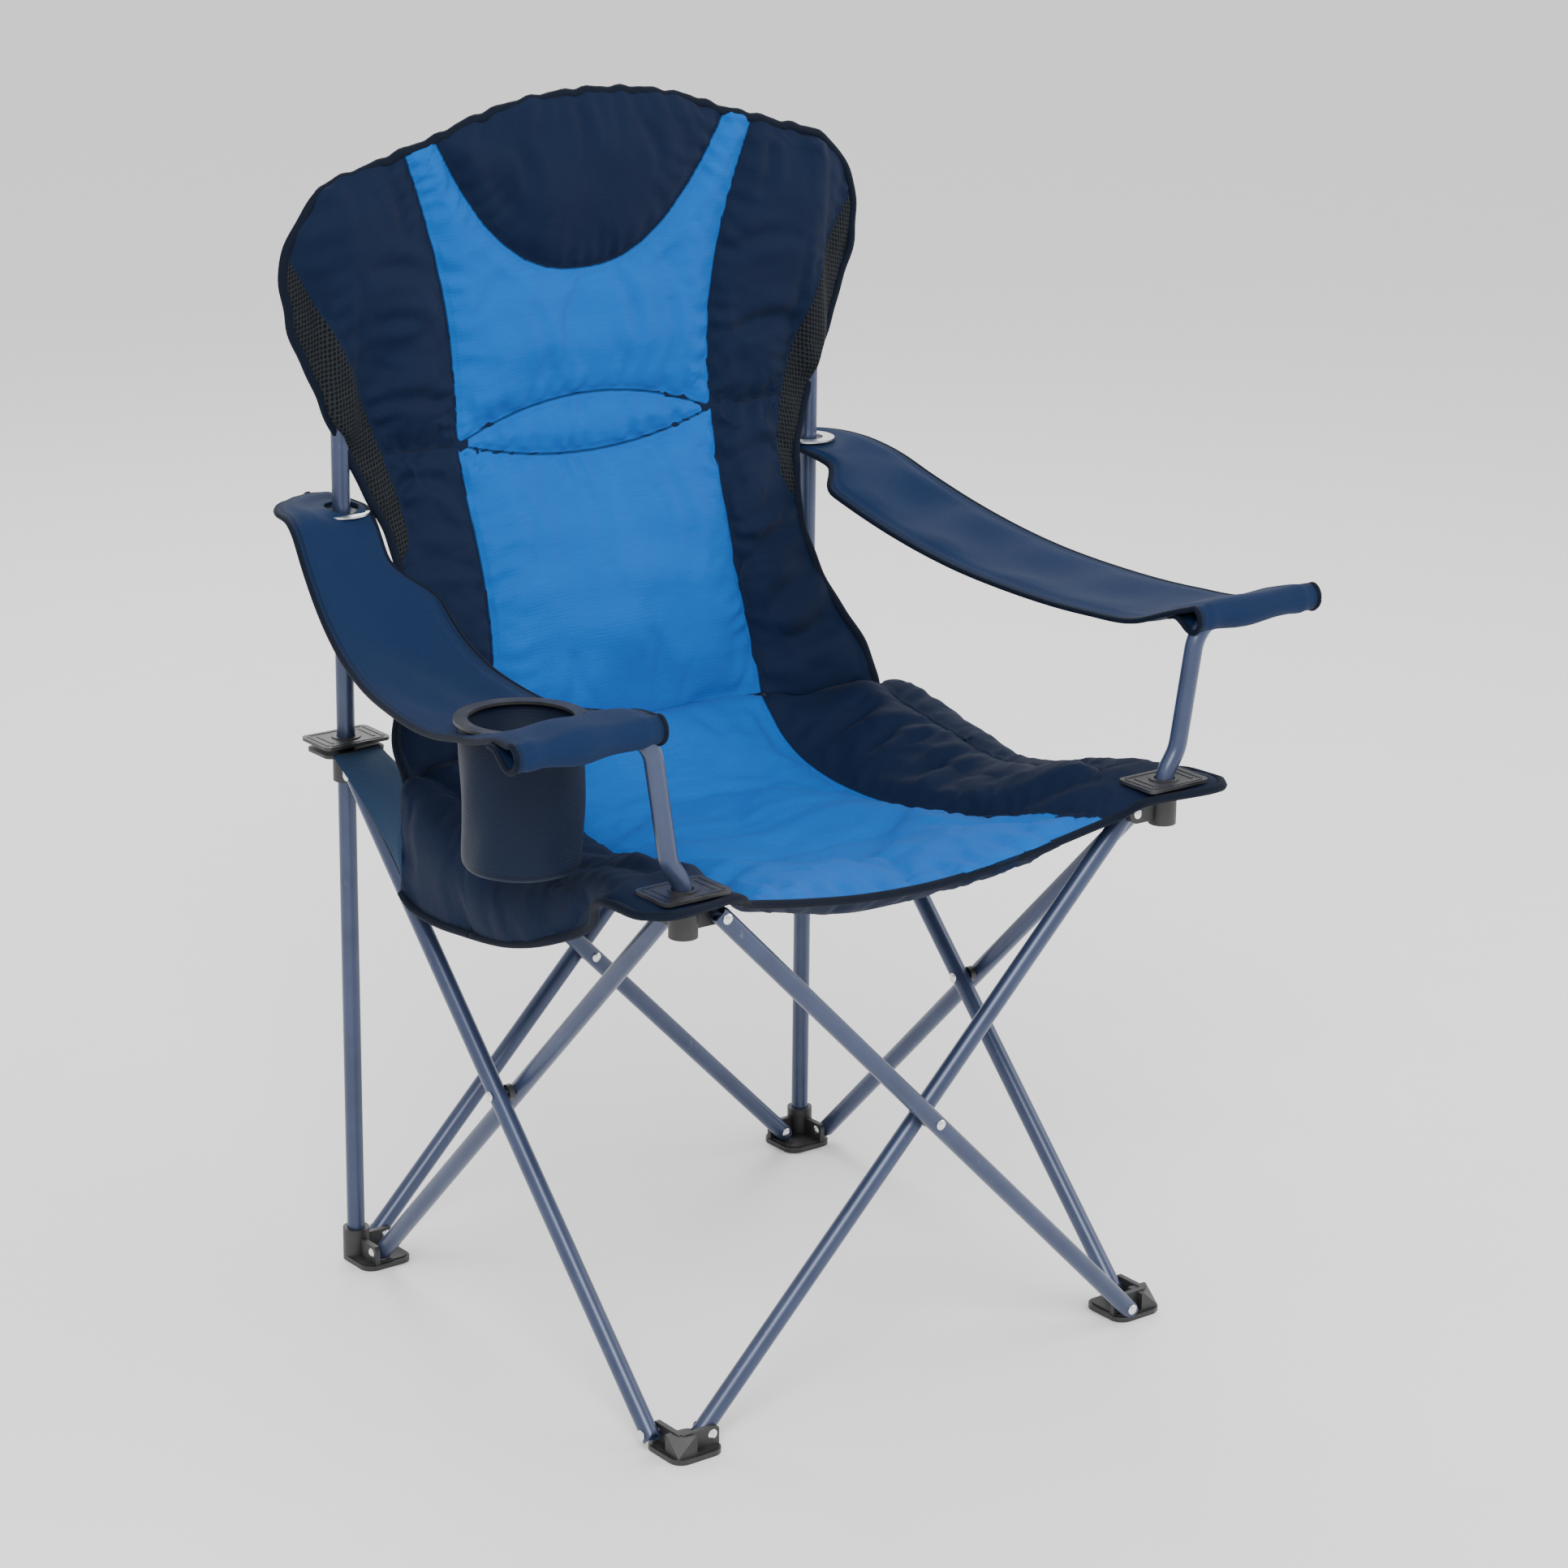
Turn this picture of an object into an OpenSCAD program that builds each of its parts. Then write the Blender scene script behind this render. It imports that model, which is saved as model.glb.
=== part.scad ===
// Folding camp chair with a padded high back, sling armrests and one cup holder.
// Millimetres, +Z up. The origin is on the floor, at the centre of the four feet.
// The sitter faces -Y and has +X on the left hand.
// Four scissor pairs of equal tubes close the square plan towards its middle.

/* [Frame] */
// Distance between the axes of two neighbouring corner posts
span = 506; // [420:1:610]
// Height of the lower pivots above the floor
foot_pivot_z = 15; // [15:1:24]
// Height of the upper pivots when the chair is open
top_pivot_z = 470; // [380:1:520]
// Distance of each pivot from its corner axis
pivot_inset = 30; // [28:1:40]
// Outer diameter of every tube
tube_d = 16; // [13:0.5:19.5]
// Wall of every tube
tube_wall = 1.2; // [0.8:0.1:2]
// Length of a scissor tube beyond its pivots
tube_end = 7; // [6:0.5:8]
// Height of the top of the rear posts
post_top_z = 962; // [900:1:1100]

/* [Joints and brackets] */
// Thickness of the bracket ears
ear_t = 5; // [4:0.5:7]
// Radius of the bracket ears around their rivets
ear_r = 9; // [8:0.5:10]
// Wall of the sockets around the posts
socket_wall = 4; // [3:0.5:5]
// Diameter of the rivet shanks
rivet_d = 5; // [4:0.5:6]
// Diameter of the rivet heads
head_d = 9; // [8:0.5:11]
// Height of the rivet heads
head_h = 2; // [1.5:0.5:3]
// Radial clearance of the rivets in their holes
rivet_gap = 0.05; // [0.03:0.01:0.1]
// Clearance between parts that pass each other
pass_gap = 0.4; // [0.3:0.1:0.8]
// Radial clearance of the sliders on the rear posts
slide_gap = 0.4; // [0.2:0.1:0.6]
// Side of the foot plates
foot_side = 50; // [48:1:60]
// Thickness of the foot plates
foot_t = 4.5; // [3.5:0.5:4.5]
// Height of the sockets in the rear feet
foot_socket_h = 30; // [28:1:44]
// Height of the sockets under the seat
hub_socket_h = 28; // [26:1:34]

/* [Corner plates] */
// Length of a corner plate, across the chair
plate_l = 66; // [60:1:80]
// Width of a corner plate, along the chair
plate_w = 46; // [42:1:56]
// Thickness of a corner plate
plate_t = 3; // [2:0.5:5]
// Thickness of the seat fabric where a plate clamps it
clamp_t = 5; // [4:0.5:8]

/* [Arm posts] */
// Lean of the arm post just above its socket, degrees
arm_kick = 33; // [20:1:40]
// Lean of the arm post's long stretch, degrees
arm_lean = 9.4; // [5:0.2:15]
// Length of the arm post's long stretch
arm_rise = 79; // [60:1:120]
// Radius of the arm post's lower bends
arm_bend_r = 36; // [30:1:45]
// Radius of the arm post's upper bend
arm_top_r = 32; // [28:1:40]
// Length of the level stretch that carries the armrest
arm_grip = 88; // [70:1:100]

/* [Armrests] */
// Height of the armrests' rear ends
arm_rear_z = 693; // [660:1:760]
// Width of an armrest at the rear
arm_rear_w = 112; // [96:1:120]
// Width of an armrest at the front
arm_front_w = 138; // [120:1:150]
// Thickness of an armrest
arm_t = 7; // [5:0.5:9]
// Depth that the left armrest hangs below its ends
arm_sag = 37; // [20:1:45]
// Depth that the right armrest hangs, with the cup holder's weight
cup_arm_sag = 58; // [30:1:64]
// Outer diameter of the rear eyelets
eyelet_d = 49; // [42:1:52]
// Bore of the rear eyelets
eyelet_bore = 28; // [24:1:30]

/* [Cup holder] */
// Inner diameter of the cup holder
cup_d = 94; // [76:1:100]
// Depth of the cup holder
cup_depth = 118; // [90:1:140]
// Wall of the cup holder's sleeve
cup_wall = 3; // [2:0.5:4]
// Bore of the cup holder's rim
cup_mouth = 85; // [70:1:90]
// Distance of the cup holder behind the arm post
cup_back = 108; // [90:1:130]

/* [Seat and back] */
// Reach of the seat's corners beyond the corner axes
seat_tip = 56; // [44:1:68]
// Thickness of the seat
seat_t = 14; // [10:1:20]
// Depth of the flap at the seat's sides
flap_depth = 96; // [60:1:110]
// Height of the back's upper edge
back_top_z = 1041; // [1000:1:1120]
// Thickness of the upper back
back_t = 30; // [26:1:36]
// Height of the seam across the lumbar
lumbar_z = 742; // [700:1:780]
// Reach of the back's wings beyond the posts
wing = 52; // [40:1:60]

/* [Hidden] */
$fn = 48;
p = span / 2;
tube_r = tube_d / 2;
rivet_r = rivet_d / 2;
hole_r = rivet_r + rivet_gap;
// distance of the pivots from the middle of a side
pivot_x = p - pivot_inset;
rise = top_pivot_z - foot_pivot_z;
cross_l = sqrt(4 * pivot_x * pivot_x + rise * rise);
cross_a = atan(2 * pivot_x / rise);
mid_z = (top_pivot_z + foot_pivot_z) / 2;
// distance of a scissor tube's axis from the plane of its ears
stack = ear_t / 2 + pass_gap + tube_r;
// distance of a rivet head from that plane, outside the tube
head_at = stack + tube_r + 0.1;
socket_r = tube_r + socket_wall;
fit_gap = 0.05;
// brackets, clamped fabric and corner plates, from below
hub_bottom_z = top_pivot_z - 14;
flange_z = hub_bottom_z + hub_socket_h - 0.5;
flange_t = 3;
clamp_z = flange_z + flange_t + 0.5;
plate_z = clamp_z + clamp_t + 0.5;
boss_h = 4;
// arm post
arm_start_z = foot_pivot_z + rise - 12;
arm_foot_l = plate_z - arm_start_z - 5;
// places along its middle line, from its foot: after the kick, before and after the long stretch, at the grip
kick_x = arm_bend_r * (1 - cos(arm_kick));
kick_z = arm_foot_l + arm_bend_r * sin(arm_kick);
back_x = kick_x + 8 * sin(arm_kick);
back_z = kick_z + 8 * cos(arm_kick);
lean_x = back_x + arm_bend_r * (cos(arm_lean) - cos(arm_kick));
lean_z = back_z + arm_bend_r * (sin(arm_kick) - sin(arm_lean));
top_x = lean_x + arm_rise * sin(arm_lean);
top_z = lean_z + arm_rise * cos(arm_lean);
grip_x = top_x + arm_top_r * cos(arm_lean);
grip_z = top_z + arm_top_r * (1 - sin(arm_lean));
arm_path_x = grip_x;
arm_grip_z = arm_start_z + grip_z;
// centre of an armrest at its front and rear, beyond the corner axis
arm_out = arm_path_x + arm_grip / 2 - 10;
pocket_r = tube_r + 0.4 + 3.5;
// armrest's middle line: u is 0 at the rear post and 1 at the arm post
function arm_x(u) = p + arm_out * u;
function arm_y(u) = p - span * u;
// level under the eyelet, then hanging between the eyelet and the grip; side is -1 on the right
flat_u = (eyelet_d / 2 + 3) / span;
function arm_z(u, side) = let (w = max(0, u - flat_u) / (1 - flat_u))
    arm_rear_z + (arm_grip_z - arm_rear_z) * w
    - 4 * w * (1 - w) * (side < 0 ? cup_arm_sag * (1 + 0.6 * (1 - 2 * w)) : arm_sag);
// where an armrest folds when the chair closes
arm_split = 0.38;
function arm_half(u) = (arm_rear_w + (arm_front_w - arm_rear_w) * max(0, u)) / 2;
cup_u = cup_back / span;
cup_x = -arm_x(1 - cup_u) - 6;
cup_y = -p + cup_back;
cup_top_z = arm_z(1 - cup_u, -1);
rim_reach = 4;
// seat: height of its middle and of its ridge over the side, along Y
crease_y = p * 0.675;
crease_z = clamp_z;
seat_low = clamp_z - 68;
function seat_mid(y) = lookup(y, [[-p, clamp_z - 42], [-0.6 * p, seat_low + 6], [-0.25 * p, seat_low],
    [0.2 * p, seat_low + 2], [0.45 * p, seat_low + 20], [crease_y, crease_z]]);
function seat_ridge(y) = lookup(y, [[-0.86 * p, clamp_z], [-0.45 * p, clamp_z - 16], [-0.2 * p, clamp_z - 24],
    [0.25 * p, clamp_z - 10], [0.55 * p, clamp_z], [p, clamp_z]]);
function flap(y) = flap_depth * max(0, cos(90 * (y - 0.22 * p) / (y > 0.22 * p ? 0.78 * p : 1.07 * p)));
// back: place of its front face, and half its width, by height
function back_y(z) = lookup(z, [[crease_z, crease_y], [crease_z + 42, crease_y + 10],
    [crease_z + 83, crease_y + 16], [crease_z + 150, crease_y + 33],
    [lumbar_z, p - 17], [back_top_z, p - 17]]);
function back_half(z) = lookup(z, [[crease_z, p - 8], [crease_z + 47, p - 6], [crease_z + 80, p - 20],
    [crease_z + 107, p - 30], [crease_z + 141, p - 36], [crease_z + 166, p - 36], [lumbar_z - 38, p - 27],
    [lumbar_z - 5, p - 14], [lumbar_z, p - 13]]);

// corners and sides, counted clockwise from above: 0 front left, 1 front right, 2 rear right, 3 rear left
fl = 0;
fr = 1;
rr = 2;
rl = 3;

// places its children, drawn for the front right corner, at corner c
module at_corner(c) rotate(-90 * (c - 1)) translate([-p, -p, 0]) children();
// moves its children to corner c without turning them
module over_corner(c) translate([c == fl || c == rl ? p : -p, c == rr || c == rl ? p : -p, 0]) children();
// places its children, drawn for the front side, at side s
module at_side(s) rotate(-90 * s) translate([0, -p, 0]) children();

module rounded_plate(l, w, r, t) {
    translate([-l / 2 + r, -w / 2, 0]) cube([l - 2 * r, w, t]);
    translate([-l / 2, -w / 2 + r, 0]) cube([l, w - 2 * r, t]);
    for (x = [-1, 1], y = [-1, 1])
        translate([x * (l / 2 - r), y * (w / 2 - r), 0]) cylinder(r = r, h = t);
}

// an ear along +X in the plane y = 0, with its rivet hole at the pivot
module ear(z, low, high) {
    translate([0, -ear_t / 2, z - low]) cube([pivot_inset, ear_t, low + high]);
    translate([pivot_inset, ear_t / 2, z]) rotate([90, 0, 0]) cylinder(r = ear_r, h = ear_t);
}

module ear_hole(z)
    translate([pivot_inset, ear_t, z]) rotate([90, 0, 0]) cylinder(r = hole_r, h = 2 * ear_t);

// both ears of a corner: one along +X and one along +Y
module two_ears(z, low, high) {
    ear(z, low, high);
    mirror([1, -1, 0]) ear(z, low, high);
}

module two_ear_holes(z) {
    ear_hole(z);
    mirror([1, -1, 0]) ear_hole(z);
}

module foot(c) color([0.06, 0.06, 0.07]) at_corner(c) {
    rear = c == rr || c == rl;
    inward = foot_side / 2 - 12;
    difference() {
        union() {
            translate([inward, inward, 0]) rounded_plate(foot_side, foot_side, 12, foot_t);
            translate([inward, inward, foot_t]) rounded_plate(foot_side - 6, foot_side - 6, 9, 1.5);
            if (rear) cylinder(r = socket_r, h = foot_socket_h);
            else toe_block();
            foot_ear();
            mirror([1, -1, 0]) foot_ear();
        }
        two_ear_holes(foot_pivot_z);
        if (rear) translate([0, 0, foot_t + 3]) cylinder(r = tube_r + fit_gap, h = foot_socket_h);
    }
}

// an ear of a foot, with a squarer end than the other ears
module foot_ear() translate([0, ear_t / 2, 0]) rotate([90, 0, 0]) {
    cube([pivot_inset + 3, foot_pivot_z + 7, ear_t]);
    cube([pivot_inset + 7, foot_pivot_z + 3, ear_t]);
    translate([pivot_inset + 3, foot_pivot_z + 3, 0]) cylinder(r = 4, h = ear_t);
}

// the block between the ears of a front foot, sloping down to the outer corner of its plate
module toe_block() difference() {
    translate([-9, -9, 0]) cube([19, 19, foot_pivot_z + 6]);
    rotate([0, 0, 45]) translate([-9 * sqrt(2), -30, foot_t + 1.5]) rotate([0, -toe_slope, 0]) cube([60, 60, 60]);
}
toe_slope = 52;

// bracket under a front corner of the seat; the arm post stands in it
module hub(c) color([0.06, 0.06, 0.07]) {
    difference() {
        union() {
            at_corner(c) {
                translate([0, 0, hub_bottom_z]) cylinder(r = socket_r, h = flange_z - hub_bottom_z);
                two_ears(top_pivot_z, ear_r, flange_z - top_pivot_z);
            }
            over_corner(c) translate([0, 0, flange_z]) rounded_plate(plate_l - 6, plate_w - 6, 8, flange_t);
        }
        at_corner(c) two_ear_holes(top_pivot_z);
        over_corner(c) translate([0, 0, arm_start_z - fit_gap]) cylinder(r = tube_r + fit_gap, h = 60);
    }
}

// bracket that slides on a rear post
module slider(c) color([0.06, 0.06, 0.07]) {
    difference() {
        union() {
            at_corner(c) {
                translate([0, 0, hub_bottom_z]) cylinder(r = socket_r, h = flange_z - hub_bottom_z);
                two_ears(top_pivot_z, ear_r, flange_z - top_pivot_z);
            }
            over_corner(c) translate([0, 0, flange_z]) rounded_plate(plate_l - 6, plate_w - 6, 8, flange_t);
        }
        at_corner(c) two_ear_holes(top_pivot_z);
        over_corner(c) translate([0, 0, hub_bottom_z - 1]) cylinder(r = tube_r + slide_gap, h = 60);
    }
}

// ribbed plate that holds the seat fabric down on its bracket
module corner_plate(c) color([0.09, 0.09, 0.1]) over_corner(c) translate([0, 0, plate_z]) difference() {
    union() {
        rounded_plate(plate_l, plate_w, 6, plate_t);
        for (y = [-1, 1]) translate([0, y * (plate_w / 2 - 4), plate_t / 2])
            cube([plate_l - 14, 2.5, plate_t + 1], center = true);
        for (x = [-1, 1]) translate([x * (plate_l / 2 - 5), 0, plate_t / 2])
            cube([2.5, plate_w - 12, plate_t + 1], center = true);
        for (x = [-1, 1]) translate([x * (plate_l / 2 - 12), 0, plate_t / 2])
            cube([2.5, plate_w - 20, plate_t + 1], center = true);
        cylinder(r = socket_r + 1, h = boss_h);
    }
    translate([0, 0, -1]) cylinder(r = tube_r + slide_gap, h = 20);
    if (c == fl || c == fr) bend_room(c);
}

// room for the bend that an arm post starts inside its plate
module bend_room(c) {
    side = c == fl ? 1 : -1;
    translate([side * 1.5, 0, -1]) cylinder(r = tube_r + slide_gap + 0.3, h = 20);
}

module tube(l, r) difference() {
    cylinder(r = r, h = l);
    translate([0, 0, -1]) cylinder(r = r - tube_wall, h = l + 2);
}

module post(c) color([0.24, 0.28, 0.42]) over_corner(c) translate([0, 0, foot_t + 3]) tube(post_top_z - foot_t - 3, tube_r);

module post_cap(c) color([0.06, 0.06, 0.07]) over_corner(c) translate([0, 0, post_top_z]) {
    cylinder(r = tube_r, h = 3);
    translate([0, 0, 3]) cylinder(r1 = tube_r, r2 = tube_r - 3, h = 2, $fn = 48);
    translate([0, 0, -12]) cylinder(r = tube_r - tube_wall - fit_gap, h = 12);
}

// one scissor tube of the front side: it leans towards lean, in front of the ears or behind them
module scissor_tube(s, lean, out) color([0.24, 0.28, 0.42]) at_side(s) translate([0, -out * stack, mid_z])
    rotate([0, lean * cross_a, 0]) difference() {
        translate([0, 0, -cross_l / 2 - tube_end]) tube(cross_l + 2 * tube_end, tube_r);
        for (e = [0, 1]) mirror([0, 0, e]) translate([0, 0, cross_l / 2]) end_waste();
        for (z = [-cross_l / 2, 0, cross_l / 2])
            translate([0, tube_d, z]) rotate([90, 0, 0]) cylinder(r = hole_r + 0.05, h = 2 * tube_d);
    }

// what is cut from the end of a tube to round it about its rivet
module end_waste() difference() {
    translate([-2 * tube_r, -2 * tube_r, 0]) cube([4 * tube_r, 4 * tube_r, 2 * tube_r]);
    translate([0, 3 * tube_r, 0]) rotate([90, 0, 0]) cylinder(r = tube_r, h = 6 * tube_r);
}

// the outer tube stands on its side's left foot and leans right; the inner tube leans left
module outer_tube(s) scissor_tube(s, -1, 1);
module inner_tube(s) scissor_tube(s, 1, -1);

// a rivet along Y from y0 to y1, with a domed head at each end
module rivet(y0, y1) {
    translate([0, y1, 0]) rotate([90, 0, 0]) cylinder(r = rivet_r, h = y1 - y0);
    translate([0, y0, 0]) rotate([90, 0, 0]) rivet_head();
    translate([0, y1, 0]) rotate([-90, 0, 0]) rivet_head();
}

module rivet_head() rotate_extrude() intersection() {
    square([head_d / 2, head_h]);
    translate([0, head_h - dome_r]) circle(r = dome_r);
}

// the dome passes through the head's rim at a fifth of its height
dome_r = (pow(head_d / 2, 2) + pow(0.8 * head_h, 2)) / (1.6 * head_h);

// an outer tube's rivet at an ear, and an inner tube's
module outer_rivet() rivet(-head_at, ear_t / 2 + 0.1);
module inner_rivet() rivet(-ear_t / 2 - 0.1, head_at);

// at a foot the tube along +X is an inner one, and the tube along +Y is an outer one
module foot_rivets(c) color([0.8, 0.8, 0.82]) at_corner(c) translate([0, 0, foot_pivot_z]) {
    translate([pivot_inset, 0, 0]) inner_rivet();
    rotate(-90) translate([-pivot_inset, 0, 0]) outer_rivet();
}

// at the top it is the other way round
module top_rivets(c) color([0.8, 0.8, 0.82]) at_corner(c) translate([0, 0, top_pivot_z]) {
    translate([pivot_inset, 0, 0]) outer_rivet();
    rotate(-90) translate([-pivot_inset, 0, 0]) inner_rivet();
}

module cross_rivet(s) color([0.8, 0.8, 0.82]) at_side(s) translate([0, 0, mid_z]) rivet(-head_at, head_at);

module spacer(s) color([0.06, 0.06, 0.07]) at_side(s) translate([0, 0, mid_z]) rotate([90, 0, 0])
    translate([0, 0, -stack + tube_r + 0.2]) difference() {
        cylinder(r = 7, h = 2 * (stack - tube_r - 0.2));
        translate([0, 0, -1]) cylinder(r = hole_r, h = 20);
    }

// an arc of a middle line: [x, z, direction from upright]
function turn(x, z, a0, a1, r, n) = [for (i = [0:n]) let (a = a0 + (a1 - a0) * i / n, s = sign(a1 - a0))
    [x + s * r * (cos(a0) - cos(a)), z + s * r * (sin(a) - sin(a0)), a]];
arm_line = concat([[0, 0, 0]], turn(0, arm_foot_l, 0, arm_kick, arm_bend_r, 4),
    turn(back_x, back_z, arm_kick, arm_lean, arm_bend_r, 3),
    turn(top_x, top_z, arm_lean, 90, arm_top_r, 8), [[grip_x + arm_grip, grip_z, 90]]);

// a tube along a line of [x, z, direction]; with bore 0 it is solid
module swept_tube(line, r, bore) {
    sides = 24;
    n = len(line);
    function ring(r) = [for (q = line, k = [0:sides - 1]) let (a = 360 * k / sides)
        [q[0] + r * cos(a) * cos(q[2]), r * sin(a), q[1] - r * cos(a) * sin(q[2])]];
    function skin(from, flip) = [for (i = [0:n - 2], k = [0:sides - 1])
        let (a = from + i * sides + k, b = from + i * sides + (k + 1) % sides)
        flip ? [b, b + sides, a + sides, a] : [a, a + sides, b + sides, b]];
    function lid(i, flip) = let (o = i * sides, m = n * sides + i * sides)
        bore == 0 ? [[for (k = [0:sides - 1]) o + (flip ? sides - 1 - k : k)]]
        : [for (k = [0:sides - 1]) let (j = (k + 1) % sides)
            flip ? [o + k, m + k, m + j, o + j] : [o + j, m + j, m + k, o + k]];
    polyhedron(points = bore == 0 ? ring(r) : concat(ring(r), ring(bore)),
        faces = concat(skin(0, false), bore == 0 ? [] : skin(n * sides, true), lid(0, false), lid(n - 1, true)),
        convexity = 8);
}

// stands in the front bracket, bends outwards and ends level inside the armrest's pocket
module arm_post(c) color([0.24, 0.28, 0.42]) over_corner(c) mirror([c == fr ? 1 : 0, 0, 0])
    translate([0, 0, arm_start_z]) swept_tube(arm_line, tube_r, tube_r - tube_wall);

module arm_plug(c) color([0.06, 0.06, 0.07]) over_corner(c) mirror([c == fr ? 1 : 0, 0, 0])
    translate([arm_path_x + arm_grip, 0, arm_grip_z]) rotate([0, 90, 0]) {
        cylinder(r = tube_r, h = 3);
        translate([0, 0, -10]) cylinder(r = tube_r - tube_wall - fit_gap - 0.1, h = 10);
    }

// a closed solid between two grids of points, each with the given rows and columns
module grid_solid(top, bottom, rows, cols) {
    n = rows * cols;
    function at(r, c) = r * cols + c;
    skin = [for (r = [0:rows - 2], c = [0:cols - 2])
        each [[at(r, c), at(r, c + 1), at(r + 1, c + 1)], [at(r, c), at(r + 1, c + 1), at(r + 1, c)]]];
    rim = concat([for (c = [0:cols - 1]) at(0, c)], [for (r = [1:rows - 1]) at(r, cols - 1)],
        [for (c = [cols - 2:-1:0]) at(rows - 1, c)], [for (r = [rows - 2:-1:1]) at(r, 0)]);
    k = len(rim);
    sides = [for (i = [0:k - 1])
        each [[rim[i], rim[i] + n, rim[(i + 1) % k]], [rim[(i + 1) % k], rim[i] + n, rim[(i + 1) % k] + n]]];
    under = [for (f = skin) [f[2] + n, f[1] + n, f[0] + n]];
    polyhedron(points = concat(top, bottom), faces = concat(skin, under, sides), convexity = 8);
}

// the stretch of an armrest from u0 to u1, as a sagging slab; the rear end is round
module arm_slab(u0, u1, steps, side) {
    rear_round = arm_rear_w / 2 / span;
    across = [-1, -0.6, 0, 0.6, 1];
    function along(i) = u0 + (u1 - u0) * i / steps;
    function narrow(u) = u < 0 ? sqrt(max(0.02, 1 - pow(u / rear_round, 2))) : 1;
    function point(i, v, dz) = let (u = along(i))
        [arm_x(u) + v * arm_half(u) * narrow(u), arm_y(u), arm_z(max(0, u), side) + dz];
    top = [for (i = [0:steps], v = across) point(i, v, arm_t / 2)];
    bottom = [for (i = [0:steps], v = across) point(i, v, -arm_t / 2)];
    grid_solid(top, bottom, steps + 1, len(across));
}

// front half of an armrest, with the pocket that takes the arm post
module arm_front(side) color([0.12, 0.2, 0.38]) mirror([side < 0 ? 1 : 0, 0, 0]) difference() {
    union() {
        arm_slab(arm_split, 1 - 10 / span, 7, side);
        translate([p + arm_path_x - 14, -p, arm_grip_z]) rotate([0, 90, 0])
            cylinder(r = pocket_r, h = arm_grip + 22);
    }
    translate([p + arm_path_x - 40, -p, arm_grip_z]) rotate([0, 90, 0])
        cylinder(r = tube_r + 0.4, h = arm_grip + 44);
    translate([p, -p, arm_start_z]) swept_tube(arm_line, tube_r + 0.4, 0);
    if (side < 0) translate([-cup_x, cup_y, cup_top_z]) {
        translate([0, 0, -30]) cylinder(r = cup_d / 2 + cup_wall + 0.3, h = 60);
        translate([0, 0, arm_t / 2]) cylinder(r = cup_d / 2 + cup_wall + rim_reach + 0.4, h = 20);
    }
}

module arm_rear(side) color([0.12, 0.2, 0.38]) mirror([side < 0 ? 1 : 0, 0, 0]) difference() {
    arm_slab(-arm_rear_w / 2 / span, arm_split - 0.002, 9, side);
    translate([p, p, arm_rear_z - 20]) cylinder(r = eyelet_bore / 2 + 0.8, h = 40);
    // room for the edge of the back
    translate([0, p - 42, arm_rear_z - 40]) cube([p - 25, 100, 80]);
}

module eyelet(side) color([0.75, 0.76, 0.78]) translate([side * p, p, arm_rear_z]) difference() {
    union() {
        translate([0, 0, arm_t / 2 + 0.4]) cylinder(d = eyelet_d, h = 1.6);
        translate([0, 0, -arm_t / 2 - 2]) cylinder(d = eyelet_d, h = 1.6);
        translate([0, 0, -arm_t / 2 - 2]) cylinder(r = eyelet_bore / 2 + 0.6, h = arm_t + 4);
    }
    translate([0, 0, -20]) cylinder(d = eyelet_bore, h = 40);
}

module cup_sleeve() color([0.08, 0.12, 0.22]) translate([cup_x, cup_y, cup_top_z - cup_depth]) difference() {
    cylinder(r = cup_d / 2 + cup_wall, h = cup_depth + arm_t / 2);
    translate([0, 0, cup_wall]) cylinder(r = cup_d / 2, h = cup_depth + arm_t);
}

module cup_rim() color([0.06, 0.06, 0.07]) translate([cup_x, cup_y, cup_top_z + arm_t / 2 + 0.2]) difference() {
    cylinder(r = cup_d / 2 + cup_wall + rim_reach, h = 2.5);
    translate([0, 0, -1]) cylinder(d = cup_mouth, h = 6);
}

// cross-section of the seat at y: [x, z] of the upper skin, then of the lower skin
seat_across = [-1, -0.8, -0.6, -0.4, -0.2, 0, 0.2, 0.4, 0.6, 0.8, 1];
function seat_z(f, y) = seat_mid(y) + (seat_ridge(y) - seat_mid(y)) * pow(abs(f), 1.6);
ridge_x = p - plate_l / 2 - 1;
seat_edge = p + stack + tube_r + 6;
function seat_row_top(y) = concat(
    [[-seat_edge - 9, y, seat_ridge(y) + 0.6 - flap(y)], [-seat_edge - 9, y, seat_ridge(y) + clamp_t - 1]],
    [for (f = seat_across) [f * ridge_x, y, seat_z(f, y) + clamp_t - 1]],
    [[seat_edge + 9, y, seat_ridge(y) + clamp_t - 1], [seat_edge + 9, y, seat_ridge(y) + 0.6 - flap(y)]]);
function seat_row_bottom(y, t) = concat(
    [[-seat_edge, y, seat_ridge(y) + 0.6 - flap(y)], [-seat_edge, y, seat_ridge(y) + 0.9]],
    [for (f = seat_across) [f * ridge_x, y, seat_z(f, y) + 1 - (t - clamp_t) * (1 - pow(abs(f), 4))]],
    [[seat_edge, y, seat_ridge(y) + 0.9], [seat_edge, y, seat_ridge(y) + 0.6 - flap(y)]]);

module seat_slab(rows) {
    top = [for (y = rows) each seat_row_top(y)];
    bottom = [for (y = rows) each seat_row_bottom(y, seat_t)];
    grid_solid(top, bottom, len(rows), len(seat_across) + 4);
}

module seat_holes() for (c = [fl, fr, rl, rr])
    over_corner(c) translate([0, 0, clamp_z - 30]) cylinder(r = tube_r + 1, h = 60);

// a rounded tongue of fabric that reaches beyond a corner, under its plate
module seat_corner(c) over_corner(c) translate([0, 0, clamp_z])
    rounded_plate(2 * seat_tip, 2 * seat_tip, 24, clamp_t);

module seat_front() color([0.1, 0.42, 0.8]) difference() {
    union() {
        seat_slab([for (i = [8:-1:0]) -p + 4 + (p - 4.3) * i / 8]);
        for (c = [fl, fr]) seat_corner(c);
    }
    seat_holes();
}

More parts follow.
